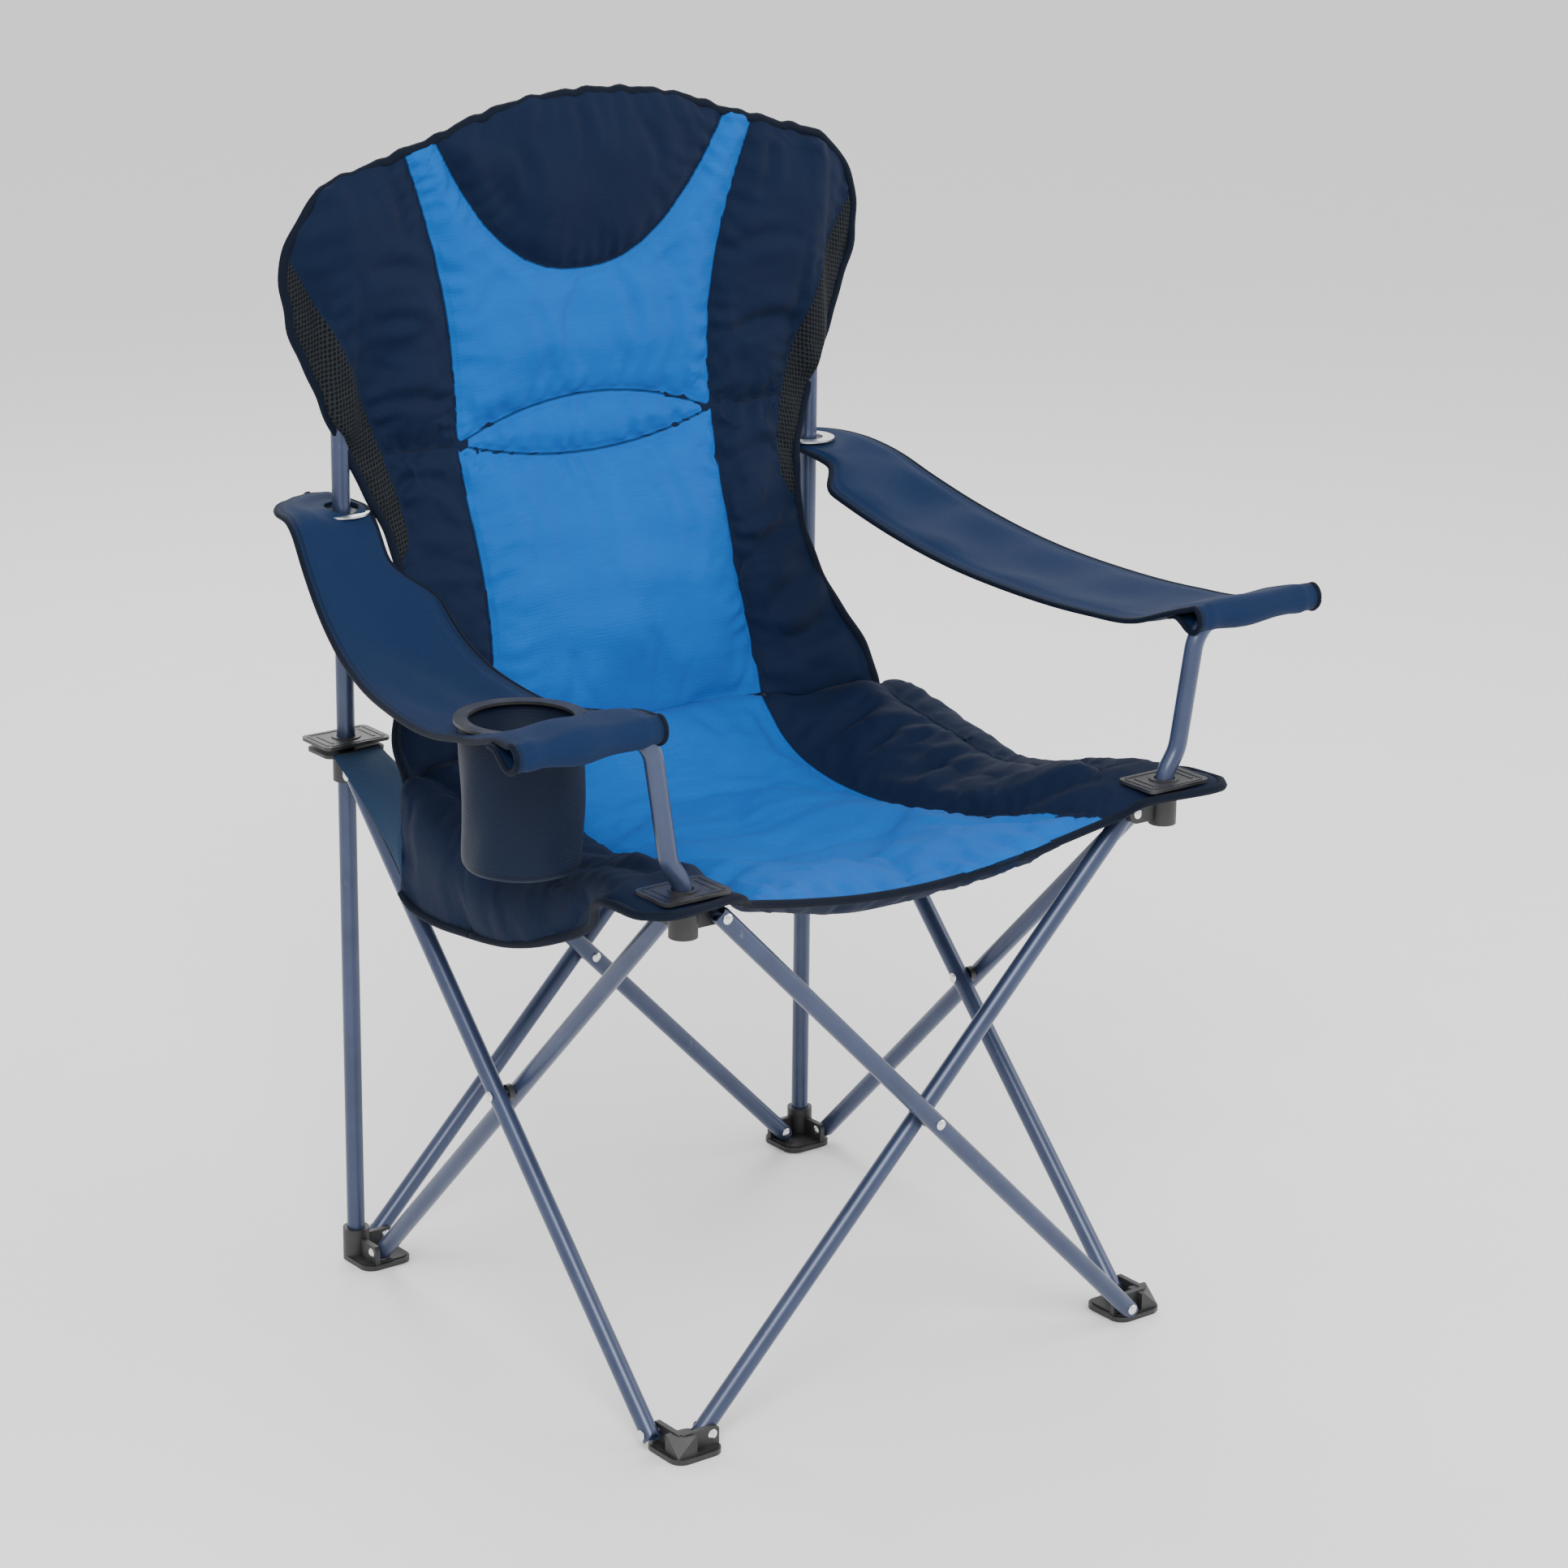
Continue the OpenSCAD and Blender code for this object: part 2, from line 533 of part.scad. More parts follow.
module seat_rear() color([0.06, 0.11, 0.22]) difference() {
    union() {
        seat_slab([for (i = [6:-1:0]) 0.3 + (crease_y - 22) * i / 6]);
        for (s = [-1, 1]) translate([s * (p + seat_tip / 2 - 5), 0, 0]) rear_gusset();
        for (c = [rl, rr]) seat_corner(c);
    }
    seat_holes();
}

// joins the seat's side to the tongue on the slider
module rear_gusset() translate([-gusset_w / 2, crease_y - 60, clamp_z + 1.2]) cube([gusset_w, p - crease_y + 60, 2.4]);
gusset_w = 22;

// half the outline of the upper back, from the lumbar seam to the middle of the top
back_outline = [[0, lumbar_z], [p - 13, lumbar_z], [p - 5, lumbar_z + 20], [p + 16, lumbar_z + 50],
    [p + wing - 8, lumbar_z + 95], [p + wing, lumbar_z + 125], [p + wing, back_top_z - 136],
    [p + wing - 8, back_top_z - 100], [p + wing - 28, back_top_z - 64], [p - 5, back_top_z - 54],
    [p - 60, back_top_z - 38], [p - 125, back_top_z - 19], [p - 190, back_top_z - 5], [0, back_top_z]];

module back_upper() color([0.1, 0.42, 0.8]) difference() {
    translate([0, p - 17 + back_t, 0]) rotate([90, 0, 0]) linear_extrude(back_t)
        polygon(concat(back_outline, [for (i = [len(back_outline) - 2:-1:1])
            [-back_outline[i][0], back_outline[i][1]]]));
    for (s = [-1, 1]) translate([s * p, p, lumbar_z - 10])
        cylinder(r = tube_r + 1, h = post_top_z + 9 - lumbar_z + 10);
}

module back_lower() color([0.1, 0.42, 0.8]) {
    rows = [for (i = [0:8]) crease_z + 8 + (lumbar_z - 0.4 - crease_z - 8) * i / 8];
    across = [-1, -0.5, 0, 0.5, 1];
    front = [for (z = rows, f = across) [f * back_half(z), back_y(z), z]];
    rear = [for (z = rows, f = across) [f * back_half(z), back_y(z) + 20, z]];
    grid_solid(front, rear, len(rows), len(across));
}

foot(rr);  // foot_rr
foot(rl);  // foot_rl
foot(fr);  // foot_fr
foot(fl);  // foot_fl
post(rr);  // post_rr
post(rl);  // post_rl
post_cap(rr);  // post_cap_rr
post_cap(rl);  // post_cap_rl
slider(rr);  // slider_rr
slider(rl);  // slider_rl
hub(fr);  // hub_fr
hub(fl);  // hub_fl
arm_post(fr);  // arm_post_fr
arm_post(fl);  // arm_post_fl
arm_plug(fr);  // arm_plug_fr
arm_plug(fl);  // arm_plug_fl
outer_tube(0);  // tube_front_outer
inner_tube(0);  // tube_front_inner
outer_tube(1);  // tube_right_outer
inner_tube(1);  // tube_right_inner
outer_tube(2);  // tube_rear_outer
inner_tube(2);  // tube_rear_inner
outer_tube(3);  // tube_left_outer
inner_tube(3);  // tube_left_inner
foot_rivets(rr);  // foot_rivets_rr
foot_rivets(rl);  // foot_rivets_rl
foot_rivets(fr);  // foot_rivets_fr
foot_rivets(fl);  // foot_rivets_fl
top_rivets(rr);  // top_rivets_rr
top_rivets(rl);  // top_rivets_rl
top_rivets(fr);  // top_rivets_fr
top_rivets(fl);  // top_rivets_fl
cross_rivet(0);  // cross_rivet_front
cross_rivet(1);  // cross_rivet_right
cross_rivet(2);  // cross_rivet_rear
cross_rivet(3);  // cross_rivet_left
spacer(0);  // spacer_front
spacer(1);  // spacer_right
spacer(2);  // spacer_rear
spacer(3);  // spacer_left
corner_plate(rr);  // corner_plate_rr
corner_plate(rl);  // corner_plate_rl
corner_plate(fr);  // corner_plate_fr
corner_plate(fl);  // corner_plate_fl
eyelet(-1);  // eyelet_right
eyelet(1);  // eyelet_left
seat_front();
seat_rear();
back_upper();
back_lower();
arm_front(-1);  // arm_front_right
arm_rear(-1);  // arm_rear_right
arm_front(1);  // arm_front_left
arm_rear(1);  // arm_rear_left
cup_sleeve();
cup_rim();
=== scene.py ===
import math
import bpy
import numpy as np
from mathutils import Matrix, Vector


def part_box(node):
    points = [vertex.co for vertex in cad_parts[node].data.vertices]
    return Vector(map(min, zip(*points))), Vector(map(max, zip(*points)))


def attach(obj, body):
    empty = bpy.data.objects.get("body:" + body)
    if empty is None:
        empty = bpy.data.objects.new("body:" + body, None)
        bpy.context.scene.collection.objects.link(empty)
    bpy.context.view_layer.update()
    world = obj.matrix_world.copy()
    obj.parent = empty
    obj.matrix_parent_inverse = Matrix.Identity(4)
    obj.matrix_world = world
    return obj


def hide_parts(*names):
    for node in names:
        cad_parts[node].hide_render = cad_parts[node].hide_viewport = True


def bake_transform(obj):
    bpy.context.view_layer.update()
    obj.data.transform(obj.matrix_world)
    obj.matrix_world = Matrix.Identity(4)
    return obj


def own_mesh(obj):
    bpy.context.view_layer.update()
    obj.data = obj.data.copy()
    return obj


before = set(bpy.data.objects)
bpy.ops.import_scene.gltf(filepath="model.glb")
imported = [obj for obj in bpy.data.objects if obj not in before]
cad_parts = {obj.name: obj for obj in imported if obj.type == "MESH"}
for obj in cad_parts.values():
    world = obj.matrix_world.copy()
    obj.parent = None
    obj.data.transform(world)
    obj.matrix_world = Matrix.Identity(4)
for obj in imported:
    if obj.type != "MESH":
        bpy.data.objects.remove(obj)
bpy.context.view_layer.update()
scene = bpy.context.scene
P = 0.253            # corner axes at x, y = +-P


# ---------------------------------------- small helpers

def curve1(table):
    """A smooth function through (x, value) rows, value a number or a list."""
    xs = np.array([r[0] for r in table], float)
    ys = np.array([r[1] for r in table], float)
    slope = np.gradient(ys, xs, axis=0)

    def at(x):
        x = np.clip(np.asarray(x, float), xs[0], xs[-1])
        i = np.clip(np.searchsorted(xs, x) - 1, 0, len(xs) - 2)
        h = xs[i + 1] - xs[i]
        t = (x - xs[i]) / h
        if ys.ndim == 2:
            t, h = t[..., None], h[..., None]
        a = (2 * t**3 - 3 * t**2 + 1) * ys[i] + (t**3 - 2 * t**2 + t) * h * slope[i]
        return a + (-2 * t**3 + 3 * t**2) * ys[i + 1] + (t**3 - t**2) * h * slope[i + 1]

    return at


def smooth(x, a, b):
    t = np.clip((x - a) / (b - a), 0, 1)
    return t * t * (3 - 2 * t)


def noise(p, scale, seed):
    """Smooth pseudo-random values for an (n, 3) array of points."""
    r = np.random.RandomState(seed)
    total = 0
    for k in range(7):
        d = r.normal(size=3)
        d *= (0.7 + 0.6 * r.rand()) / np.linalg.norm(d)
        total = total + np.sin((p @ d) * (2 * math.pi / scale) + r.rand() * 6.28)
    return total / 2.6


def polyline_distance(q, line):
    """Distance of 2-D points q to a polyline, and the length along it of the nearest point."""
    best = np.full(len(q), 9.0)
    along = np.zeros(len(q))
    run = 0.0
    for a, b in zip(line[:-1], line[1:]):
        a, b = np.array(a, float), np.array(b, float)
        d = b - a
        n = np.linalg.norm(d)
        t = np.clip(((q - a) @ d) / (n * n), 0, 1)
        dist = np.linalg.norm(q - (a + t[:, None] * d), axis=1)
        near = dist < best
        best[near] = dist[near]
        along[near] = run + t[near] * n
        run += n
    return best, along


def nearest_seam(q, lines):
    """Distance of 2-D points q to the nearest of several polylines, and the length along that one."""
    seam = np.full(len(q), 9.0)
    run = np.zeros(len(q))
    for line in lines:
        distance, along = polyline_distance(q, line)
        near = distance < seam
        seam[near], run[near] = distance[near], along[near]
    return seam, run


def new_mesh(name, verts, faces):
    mesh = bpy.data.meshes.new(name)
    mesh.from_pydata([tuple(v) for v in verts], [], [tuple(int(i) for i in f) for f in faces])
    mesh.polygons.foreach_set("use_smooth", [True] * len(mesh.polygons))
    mesh.update()
    obj = bpy.data.objects.new(name, mesh)
    scene.collection.objects.link(obj)
    return obj


def coords(mesh):
    co = np.zeros(len(mesh.vertices) * 3, np.float32)
    mesh.vertices.foreach_get("co", co)
    return co.reshape(-1, 3).astype(float)


def set_coords(mesh, co):
    mesh.vertices.foreach_set("co", np.asarray(co, np.float32).ravel())
    mesh.update()


def normals(mesh):
    no = np.zeros(len(mesh.vertices) * 3, np.float32)
    mesh.vertex_normals.foreach_get("vector", no)
    return no.reshape(-1, 3).astype(float)


def attribute(mesh, name, values):
    a = mesh.attributes.get(name) or mesh.attributes.new(name, "FLOAT", "POINT")
    a.data.foreach_set("value", np.asarray(values, np.float32))


def vector_attribute(mesh, name, values):
    a = mesh.attributes.get(name) or mesh.attributes.new(name, "FLOAT_VECTOR", "POINT")
    a.data.foreach_set("vector", np.asarray(values, np.float32).ravel())


def read_attribute(mesh, name):
    v = np.zeros(len(mesh.vertices), np.float32)
    mesh.attributes[name].data.foreach_get("value", v)
    return v.astype(float)


def read_vector(mesh, name):
    v = np.zeros(len(mesh.vertices) * 3, np.float32)
    mesh.attributes[name].data.foreach_get("vector", v)
    return v.reshape(-1, 3).astype(float)


def tube_mesh(points, radii, sides=12, closed=False, flat=1.0, up=(0, 0, 1)):
    """Vertices and faces of a tube along points; flat below 1 makes its section an ellipse, thin along up."""
    pts = np.array(points, float)
    n = len(pts)
    tangent = np.roll(pts, -1, 0) - np.roll(pts, 1, 0) if closed else np.gradient(pts, axis=0)
    tangent /= np.linalg.norm(tangent, axis=1)[:, None] + 1e-12
    ups = np.broadcast_to(np.array(up, float), (n, 3))
    side = np.cross(tangent, ups)
    side /= np.linalg.norm(side, axis=1)[:, None] + 1e-12
    top = np.cross(side, tangent)
    r = np.broadcast_to(np.array(radii, float), (n,))
    a = np.linspace(0, 2 * math.pi, sides, endpoint=False)
    ring = (side[:, None, :] * np.cos(a)[None, :, None] + flat * top[:, None, :] * np.sin(a)[None, :, None])
    verts = (pts[:, None, :] + r[:, None, None] * ring).reshape(-1, 3)
    faces = []
    for i in range(n if closed else n - 1):
        j = (i + 1) % n
        for k in range(sides):
            m = (k + 1) % sides
            faces.append((i * sides + k, i * sides + m, j * sides + m, j * sides + k))
    if not closed:
        faces.append(tuple(range(sides))[::-1])
        faces.append(tuple((n - 1) * sides + k for k in range(sides)))
    return verts, faces


# ---------------------------------------- materials

class Nodes:
    """Short names for building a material's nodes."""

    def __init__(self, name):
        self.mat = bpy.data.materials.new(name)
        self.mat.use_nodes = True
        self.tree = self.mat.node_tree
        self.bsdf = self.tree.nodes["Principled BSDF"]

    def add(self, kind, **inputs):
        node = self.tree.nodes.new("ShaderNode" + kind)
        for key, value in inputs.items():
            if hasattr(node, key) and key not in node.inputs:
                setattr(node, key, value)
            else:
                self.put(node.inputs[key.replace("_", " ")], value)
        return node

    def put(self, socket, value):
        if isinstance(value, bpy.types.NodeSocket):
            self.tree.links.new(value, socket)
        else:
            socket.default_value = value

    def math(self, op, a, b=0.0):
        node = self.tree.nodes.new("ShaderNodeMath")
        node.operation = op
        self.put(node.inputs[0], a)
        self.put(node.inputs[1], b)
        return node.outputs[0]

    def vmath(self, op, a, b=(0, 0, 0)):
        node = self.tree.nodes.new("ShaderNodeVectorMath")
        node.operation = op
        self.put(node.inputs[0], a)
        self.put(node.inputs[1], b)
        return node.outputs[0]

    def mix(self, fac, a, b):
        node = self.tree.nodes.new("ShaderNodeMix")
        node.data_type = "RGBA"
        self.put(node.inputs[0], fac)
        self.put(node.inputs[6], a)
        self.put(node.inputs[7], b)
        return node.outputs[2]

    def ramp(self, value, low, high, to_low=0.0, to_high=1.0):
        node = self.tree.nodes.new("ShaderNodeMapRange")
        self.put(node.inputs[0], value)
        for i, v in enumerate((low, high, to_low, to_high)):
            node.inputs[i + 1].default_value = v
        return node.outputs[0]

    def noise(self, where, scale, detail):
        return self.add("TexNoise", Vector=where, Scale=scale, Detail=detail).outputs["Fac"]

    def named(self, name):
        node = self.tree.nodes.new("ShaderNodeAttribute")
        node.attribute_name = name
        return node

    def bump(self, height, strength, distance):
        node = self.tree.nodes.new("ShaderNodeBump")
        node.inputs["Strength"].default_value = strength
        node.inputs["Distance"].default_value = distance
        self.put(node.inputs["Height"], height)
        return node.outputs[0]


def rgba(c):
    return (c[0], c[1], c[2], 1.0)


BLUE = (0.0020, 0.1000, 0.4000)
NAVY = (0.0028, 0.0092, 0.0310)
ARM = (0.0040, 0.0165, 0.0560)
SLEEVE = (0.0040, 0.0090, 0.0250)
BINDING = (0.0020, 0.0050, 0.0140)
NET = (0.0070, 0.0085, 0.0110)


def woven(name, cloth, second=None, net=None, pitch=0.0016, rough=0.72):
    """Polyester cloth: crossed threads, faint mottling and seam lines, and a second cloth and net where
    the attributes say so. The threads follow the attribute "flat", the cloth's own metres."""
    n = Nodes(name)
    flat = n.named("flat").outputs["Vector"]
    sep = n.add("SeparateXYZ", Vector=flat)
    u, v = sep.outputs[0], sep.outputs[1]
    k = 2 * math.pi / pitch
    warp = n.math("SINE", n.math("MULTIPLY", u, k))
    weft = n.math("SINE", n.math("MULTIPLY", v, k))
    weave = n.math("MULTIPLY", warp, weft)
    rib = n.math("SINE", n.math("MULTIPLY", v, k * 0.5))
    fuzz = n.noise(flat, 900.0, 2.0)
    streak = n.noise(n.vmath("MULTIPLY", flat, (40, 900, 1)), 1.0, 3.0)
    broad = n.noise(flat, 9.0, 3.0)
    colour = rgba(cloth)
    if second is not None:
        tone = n.named("tone").outputs["Fac"]
        colour = n.mix(n.ramp(tone, -0.0004, 0.0004), rgba(cloth), rgba(second))
    lively = n.math("ADD", n.math("MULTIPLY", n.math("SUBTRACT", broad, 0.5), 0.24),
                    n.math("MULTIPLY", n.math("SUBTRACT", streak, 0.5), 0.30))
    lively = n.math("ADD", lively, n.math("MULTIPLY", weave, 0.05))
    hsv = n.add("HueSaturation", Color=colour, Value=n.math("ADD", 1.0, lively))
    colour = hsv.outputs[0]
    seam = n.named("seam").outputs["Fac"]
    if second is not None:
        signed = [n.math("ABSOLUTE", n.named(key).outputs["Fac"]) for key in ("tone", "arc_a", "arc_b")]
        nearest = n.math("MINIMUM", n.math("MINIMUM", signed[0], signed[1]), signed[2])
        line = n.ramp(nearest, 0.0005, 0.0015)
    else:
        line = n.ramp(seam, 0.0006, 0.0022)
    colour = n.mix(line, n.mix(0.75, colour, rgba(BINDING)), colour)
    # a row of stitches beside each seam
    run = n.named("run").outputs["Fac"]
    dash = n.ramp(n.math("SINE", n.math("MULTIPLY", run, 2 * math.pi / 0.0042)), -0.55, -0.25)
    off_row = n.math("ABSOLUTE", n.math("SUBTRACT", seam, 0.0050))
    row = n.math("MULTIPLY", n.ramp(off_row, 0.0003, 0.0009, 1.0, 0.0), dash)
    colour = n.mix(n.math("MULTIPLY", row, 0.22 if second is None else 0.06), colour, rgba(BINDING))
    height = n.math("ADD", n.math("MULTIPLY", weave, 0.5), n.math("MULTIPLY", fuzz, 0.6))
    height = n.math("ADD", height, n.math("MULTIPLY", rib, 0.25))
    height = n.math("SUBTRACT", height, n.math("MULTIPLY", row, 0.6))
    if net is not None:
        where = n.ramp(n.named("net").outputs["Fac"], -0.0004, 0.0004, 1.0, 0.0)
        stretched = n.vmath("MULTIPLY", flat, (1.0, 0.75, 1.0))
        cells = n.add("TexVoronoi", Vector=stretched, Scale=330.0, Randomness=0.12)
        hole = n.ramp(cells.outputs["Distance"], 0.30, 0.44)
        # the net's openings are painted near-black: the dark backing seen through them, plus painted shade
        # inside them
        net_and_painted_shade = n.mix(hole, rgba((0.0015, 0.0018, 0.0022)), rgba([c * 2.0 for c in net]))
        colour = n.mix(where, colour, net_and_painted_shade)
        height = n.math("ADD", n.math("MULTIPLY", height, n.math("SUBTRACT", 1.0, where)),
                        n.math("MULTIPLY", n.math("MULTIPLY", hole, 3.0), where))
    n.put(n.bsdf.inputs["Base Color"], colour)
    n.put(n.bsdf.inputs["Roughness"], n.ramp(fuzz, 0.2, 0.8, rough - 0.07, rough + 0.09))
    n.bsdf.inputs["Specular IOR Level"].default_value = 0.12
    n.bsdf.inputs["Sheen Weight"].default_value = 0.02
    n.bsdf.inputs["Sheen Roughness"].default_value = 0.45
    n.put(n.bsdf.inputs["Normal"], n.bump(height, 0.42, 0.00035))
    return n.mat


def painted_tube():
    n = Nodes("painted_tube")
    where = n.add("TexCoord").outputs["Object"]
    fine = n.noise(where, 1400.0, 2.0)
    broad = n.noise(where, 26.0, 4.0)
    scuff = n.ramp(n.noise(n.vmath("MULTIPLY", where, (300, 300, 60)), 1.0, 4.0), 0.68, 0.74)
    base = n.mix(n.ramp(broad, 0.3, 0.7), rgba((0.026, 0.038, 0.085)), rgba((0.036, 0.052, 0.108)))
    n.put(n.bsdf.inputs["Base Color"], n.mix(n.math("MULTIPLY", scuff, 0.35), base, rgba((0.12, 0.14, 0.22))))
    n.bsdf.inputs["Metallic"].default_value = 0.35
    n.put(n.bsdf.inputs["Roughness"], n.ramp(fine, 0.2, 0.8, 0.30, 0.42))
    n.bsdf.inputs["Coat Weight"].default_value = 0.25
    n.bsdf.inputs["Coat Roughness"].default_value = 0.22
    n.put(n.bsdf.inputs["Normal"], n.bump(fine, 0.10, 0.0002))
    return n.mat


def plastic(name, colour, rough):
    n = Nodes(name)
    where = n.add("TexCoord").outputs["Object"]
    grain = n.noise(where, 1900.0, 2.0)
    broad = n.noise(where, 60.0, 4.0)
    n.put(n.bsdf.inputs["Base Color"], n.mix(n.ramp(broad, 0.35, 0.75), rgba(colour),
                                             rgba([c * 1.9 + 0.004 for c in colour])))
    n.put(n.bsdf.inputs["Roughness"], n.ramp(broad, 0.3, 0.7, rough - 0.06, rough + 0.08))
    n.put(n.bsdf.inputs["Normal"], n.bump(grain, 0.30, 0.0004))
    return n.mat


def steel(name, colour, rough):
    n = Nodes(name)
    where = n.add("TexCoord").outputs["Object"]
    brushed = n.noise(n.vmath("MULTIPLY", where, (2600, 2600, 300)), 1.0, 3.0)
    n.put(n.bsdf.inputs["Base Color"], n.mix(brushed, rgba([c * 0.86 for c in colour]), rgba(colour)))
    n.bsdf.inputs["Metallic"].default_value = 1.0
    n.put(n.bsdf.inputs["Roughness"], n.ramp(brushed, 0.2, 0.8, rough - 0.06, rough + 0.10))
    n.put(n.bsdf.inputs["Normal"], n.bump(brushed, 0.08, 0.0003))
    return n.mat


M_TUBE = painted_tube()
M_PLASTIC = plastic("black_plastic", (0.012, 0.012, 0.013), 0.46)
M_PLATE = plastic("plate_plastic", (0.018, 0.018, 0.020), 0.40)
M_RIVET = steel("rivet_steel", (0.83, 0.83, 0.85), 0.24)
M_EYELET = steel("eyelet_steel", (0.70, 0.71, 0.72), 0.34)
M_PANEL = woven("panel_cloth", BLUE, NAVY, NET)
M_ARM = woven("arm_cloth", ARM)
M_SLEEVE = woven("sleeve_cloth", SLEEVE, rough=0.5)
M_BINDING = woven("binding_cloth", BINDING, pitch=0.0011)
M_GUSSET = woven("gusset_cloth", (0.014, 0.034, 0.072), pitch=0.0030)

for node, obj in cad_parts.items():
    obj.data.materials.clear()
    if node.startswith(("tube_", "post_r", "arm_post")):
        obj.data.materials.append(M_TUBE)
    elif "rivet" in node:
        obj.data.materials.append(M_RIVET)
    elif node.startswith("eyelet"):
        obj.data.materials.append(M_EYELET)
    elif node.startswith("corner_plate"):
        obj.data.materials.append(M_PLATE)
    else:
        obj.data.materials.append(M_PLASTIC)


# ---------------------------------------- padded panels

PANEL_KEYS = ("tone", "net", "seam", "run", "arc_a", "arc_b")


def layer_faces(columns, rows):
    """Faces of a closed sheet of two layers of rows by columns vertices, and the vertices round its rim."""
    count = columns * rows
    quads = []
    for r in range(rows - 1):
        for c in range(columns - 1):
            a = r * columns + c
            quads.append((a, a + 1, a + columns + 1, a + columns))
            quads.append((a + count, a + columns + count, a + columns + 1 + count, a + 1 + count))
    rim = list(range(columns)) + [r * columns + columns - 1 for r in range(1, rows)]
    rim += [(rows - 1) * columns + c for c in range(columns - 2, -1, -1)]
    rim += [r * columns for r in range(rows - 2, 0, -1)]
    for a, b in zip(rim, rim[1:] + rim[:1]):
        quads.append((a, a + count, b + count, b))
    return quads, rim


def upward(points):
    """Unit normals of a grid of points."""
    up = np.cross(np.gradient(points, axis=1), np.gradient(points, axis=0))
    return up / (np.linalg.norm(up, axis=2)[:, :, None] + 1e-12)


def plain_cloth(mesh, seam, run, flat):
    """The attributes of a single cloth: distance from a seam, length along it, and the cloth's own metres."""
    count = len(mesh.vertices)
    for key, value in (("seam", seam), ("run", run), ("tone", 1.0), ("net", 1.0)):
        attribute(mesh, key, np.broadcast_to(value, count).astype(float))
    vector_attribute(mesh, "flat", flat)


def panel(name, place, columns, rows, thick, describe, pressure, slack, cap, keep_flat=None, core=None):
    """A padded panel: a closed pad over place(s, t), blown up by a cloth simulation between its seams.
    describe(s, t, xyz) gives the arrays that PANEL_KEYS names, one value for each vertex: signed distances
    from the second cloth, the net and the two arcs, distance from the nearest seam, and length along it."""
    s, t = np.meshgrid(np.linspace(-1, 1, columns), np.linspace(0, 1, rows))
    mid = place(s, t)
    up = upward(mid)
    info = describe(s.ravel(), t.ravel(), mid.reshape(-1, 3))
    edge = np.minimum(np.minimum(s + 1, 1 - s) / 2 * 0.55, np.minimum(t, 1 - t) * 0.55).ravel()
    room = np.minimum(info["seam"], edge)
    half = thick(s, t).ravel() * (0.25 + 0.75 * smooth(room, 0.0, 0.022))
    if core is not None:
        half = np.maximum(half, core(mid.reshape(-1, 3)))
    flat_u = np.cumsum(np.linalg.norm(np.diff(mid, axis=1, prepend=mid[:, :1]), axis=2), axis=1)
    flat_v = np.cumsum(np.linalg.norm(np.diff(mid, axis=0, prepend=mid[:1]), axis=2), axis=0)
    flat_u = flat_u - flat_u[:, columns // 2][:, None]
    front = mid.reshape(-1, 3) + up.reshape(-1, 3) * half[:, None]
    rear = mid.reshape(-1, 3) - up.reshape(-1, 3) * half[:, None]
    count = columns * rows
    quads, rim = layer_faces(columns, rows)
    obj = new_mesh(name, np.vstack([front, rear]), quads)
    mesh = obj.data
    # the rear face is plain, in the second cloth
    for key in PANEL_KEYS:
        plain = np.ones(count) if key in ("tone", "arc_a", "arc_b") else info[key]
        attribute(mesh, key, np.concatenate([info[key], plain]))
    flat = np.stack([flat_u.ravel(), flat_v.ravel(), np.zeros(count)], 1)
    vector_attribute(mesh, "flat", np.vstack([flat, flat]))
    on_rim = np.zeros(count, bool)
    on_rim[rim] = True
    held = (info["seam"] < 0.0032) | on_rim
    if keep_flat is not None:
        held |= keep_flat(mid.reshape(-1, 3))
    obj["rim"] = [int(i) for i in rim]
    inflate(obj, np.nonzero(np.tile(held, 2))[0], pressure, slack, cap)
    return obj


def inflate(obj, held, pressure, slack, cap):
    start = coords(obj.data)
    group = obj.vertex_groups.new(name="held")
    group.add([int(i) for i in held], 1.0, "REPLACE")
    mod = obj.modifiers.new("cloth", "CLOTH")
    c = mod.settings
    c.vertex_group_mass = "held"
    c.pin_stiffness = 1.0
    c.quality = 4
    c.mass = 0.25
    c.tension_stiffness = 18
    c.compression_stiffness = 18
    c.shear_stiffness = 8
    c.bending_stiffness = 0.35
    c.use_pressure = True
    c.uniform_pressure_force = pressure
    c.shrink_min = -slack
    c.effector_weights.gravity = 0.0
    mod.collision_settings.use_collision = False
    mod.point_cache.frame_start = 1
    mod.point_cache.frame_end = 20
    for f in range(1, 21):
        scene.frame_set(f)
    evaluated = obj.evaluated_get(bpy.context.evaluated_depsgraph_get())
    moved = coords(evaluated.to_mesh())
    evaluated.to_mesh_clear()
    obj.modifiers.remove(mod)
    obj.vertex_groups.clear()
    scene.frame_set(1)
    shift = moved - start
    length = np.linalg.norm(shift, axis=1)
    shift *= (np.minimum(length, cap) / np.maximum(length, 1e-9))[:, None]
    set_coords(obj.data, start + shift)


def refine(obj):
    mod = obj.modifiers.new("sub", "SUBSURF")
    mod.levels = 1
    mod.render_levels = 1
    bpy.context.view_layer.objects.active = obj
    obj.select_set(True)
    bpy.ops.object.modifier_apply(modifier=mod.name)
    obj.select_set(False)
    obj.data.polygons.foreach_set("use_smooth", [True] * len(obj.data.polygons))


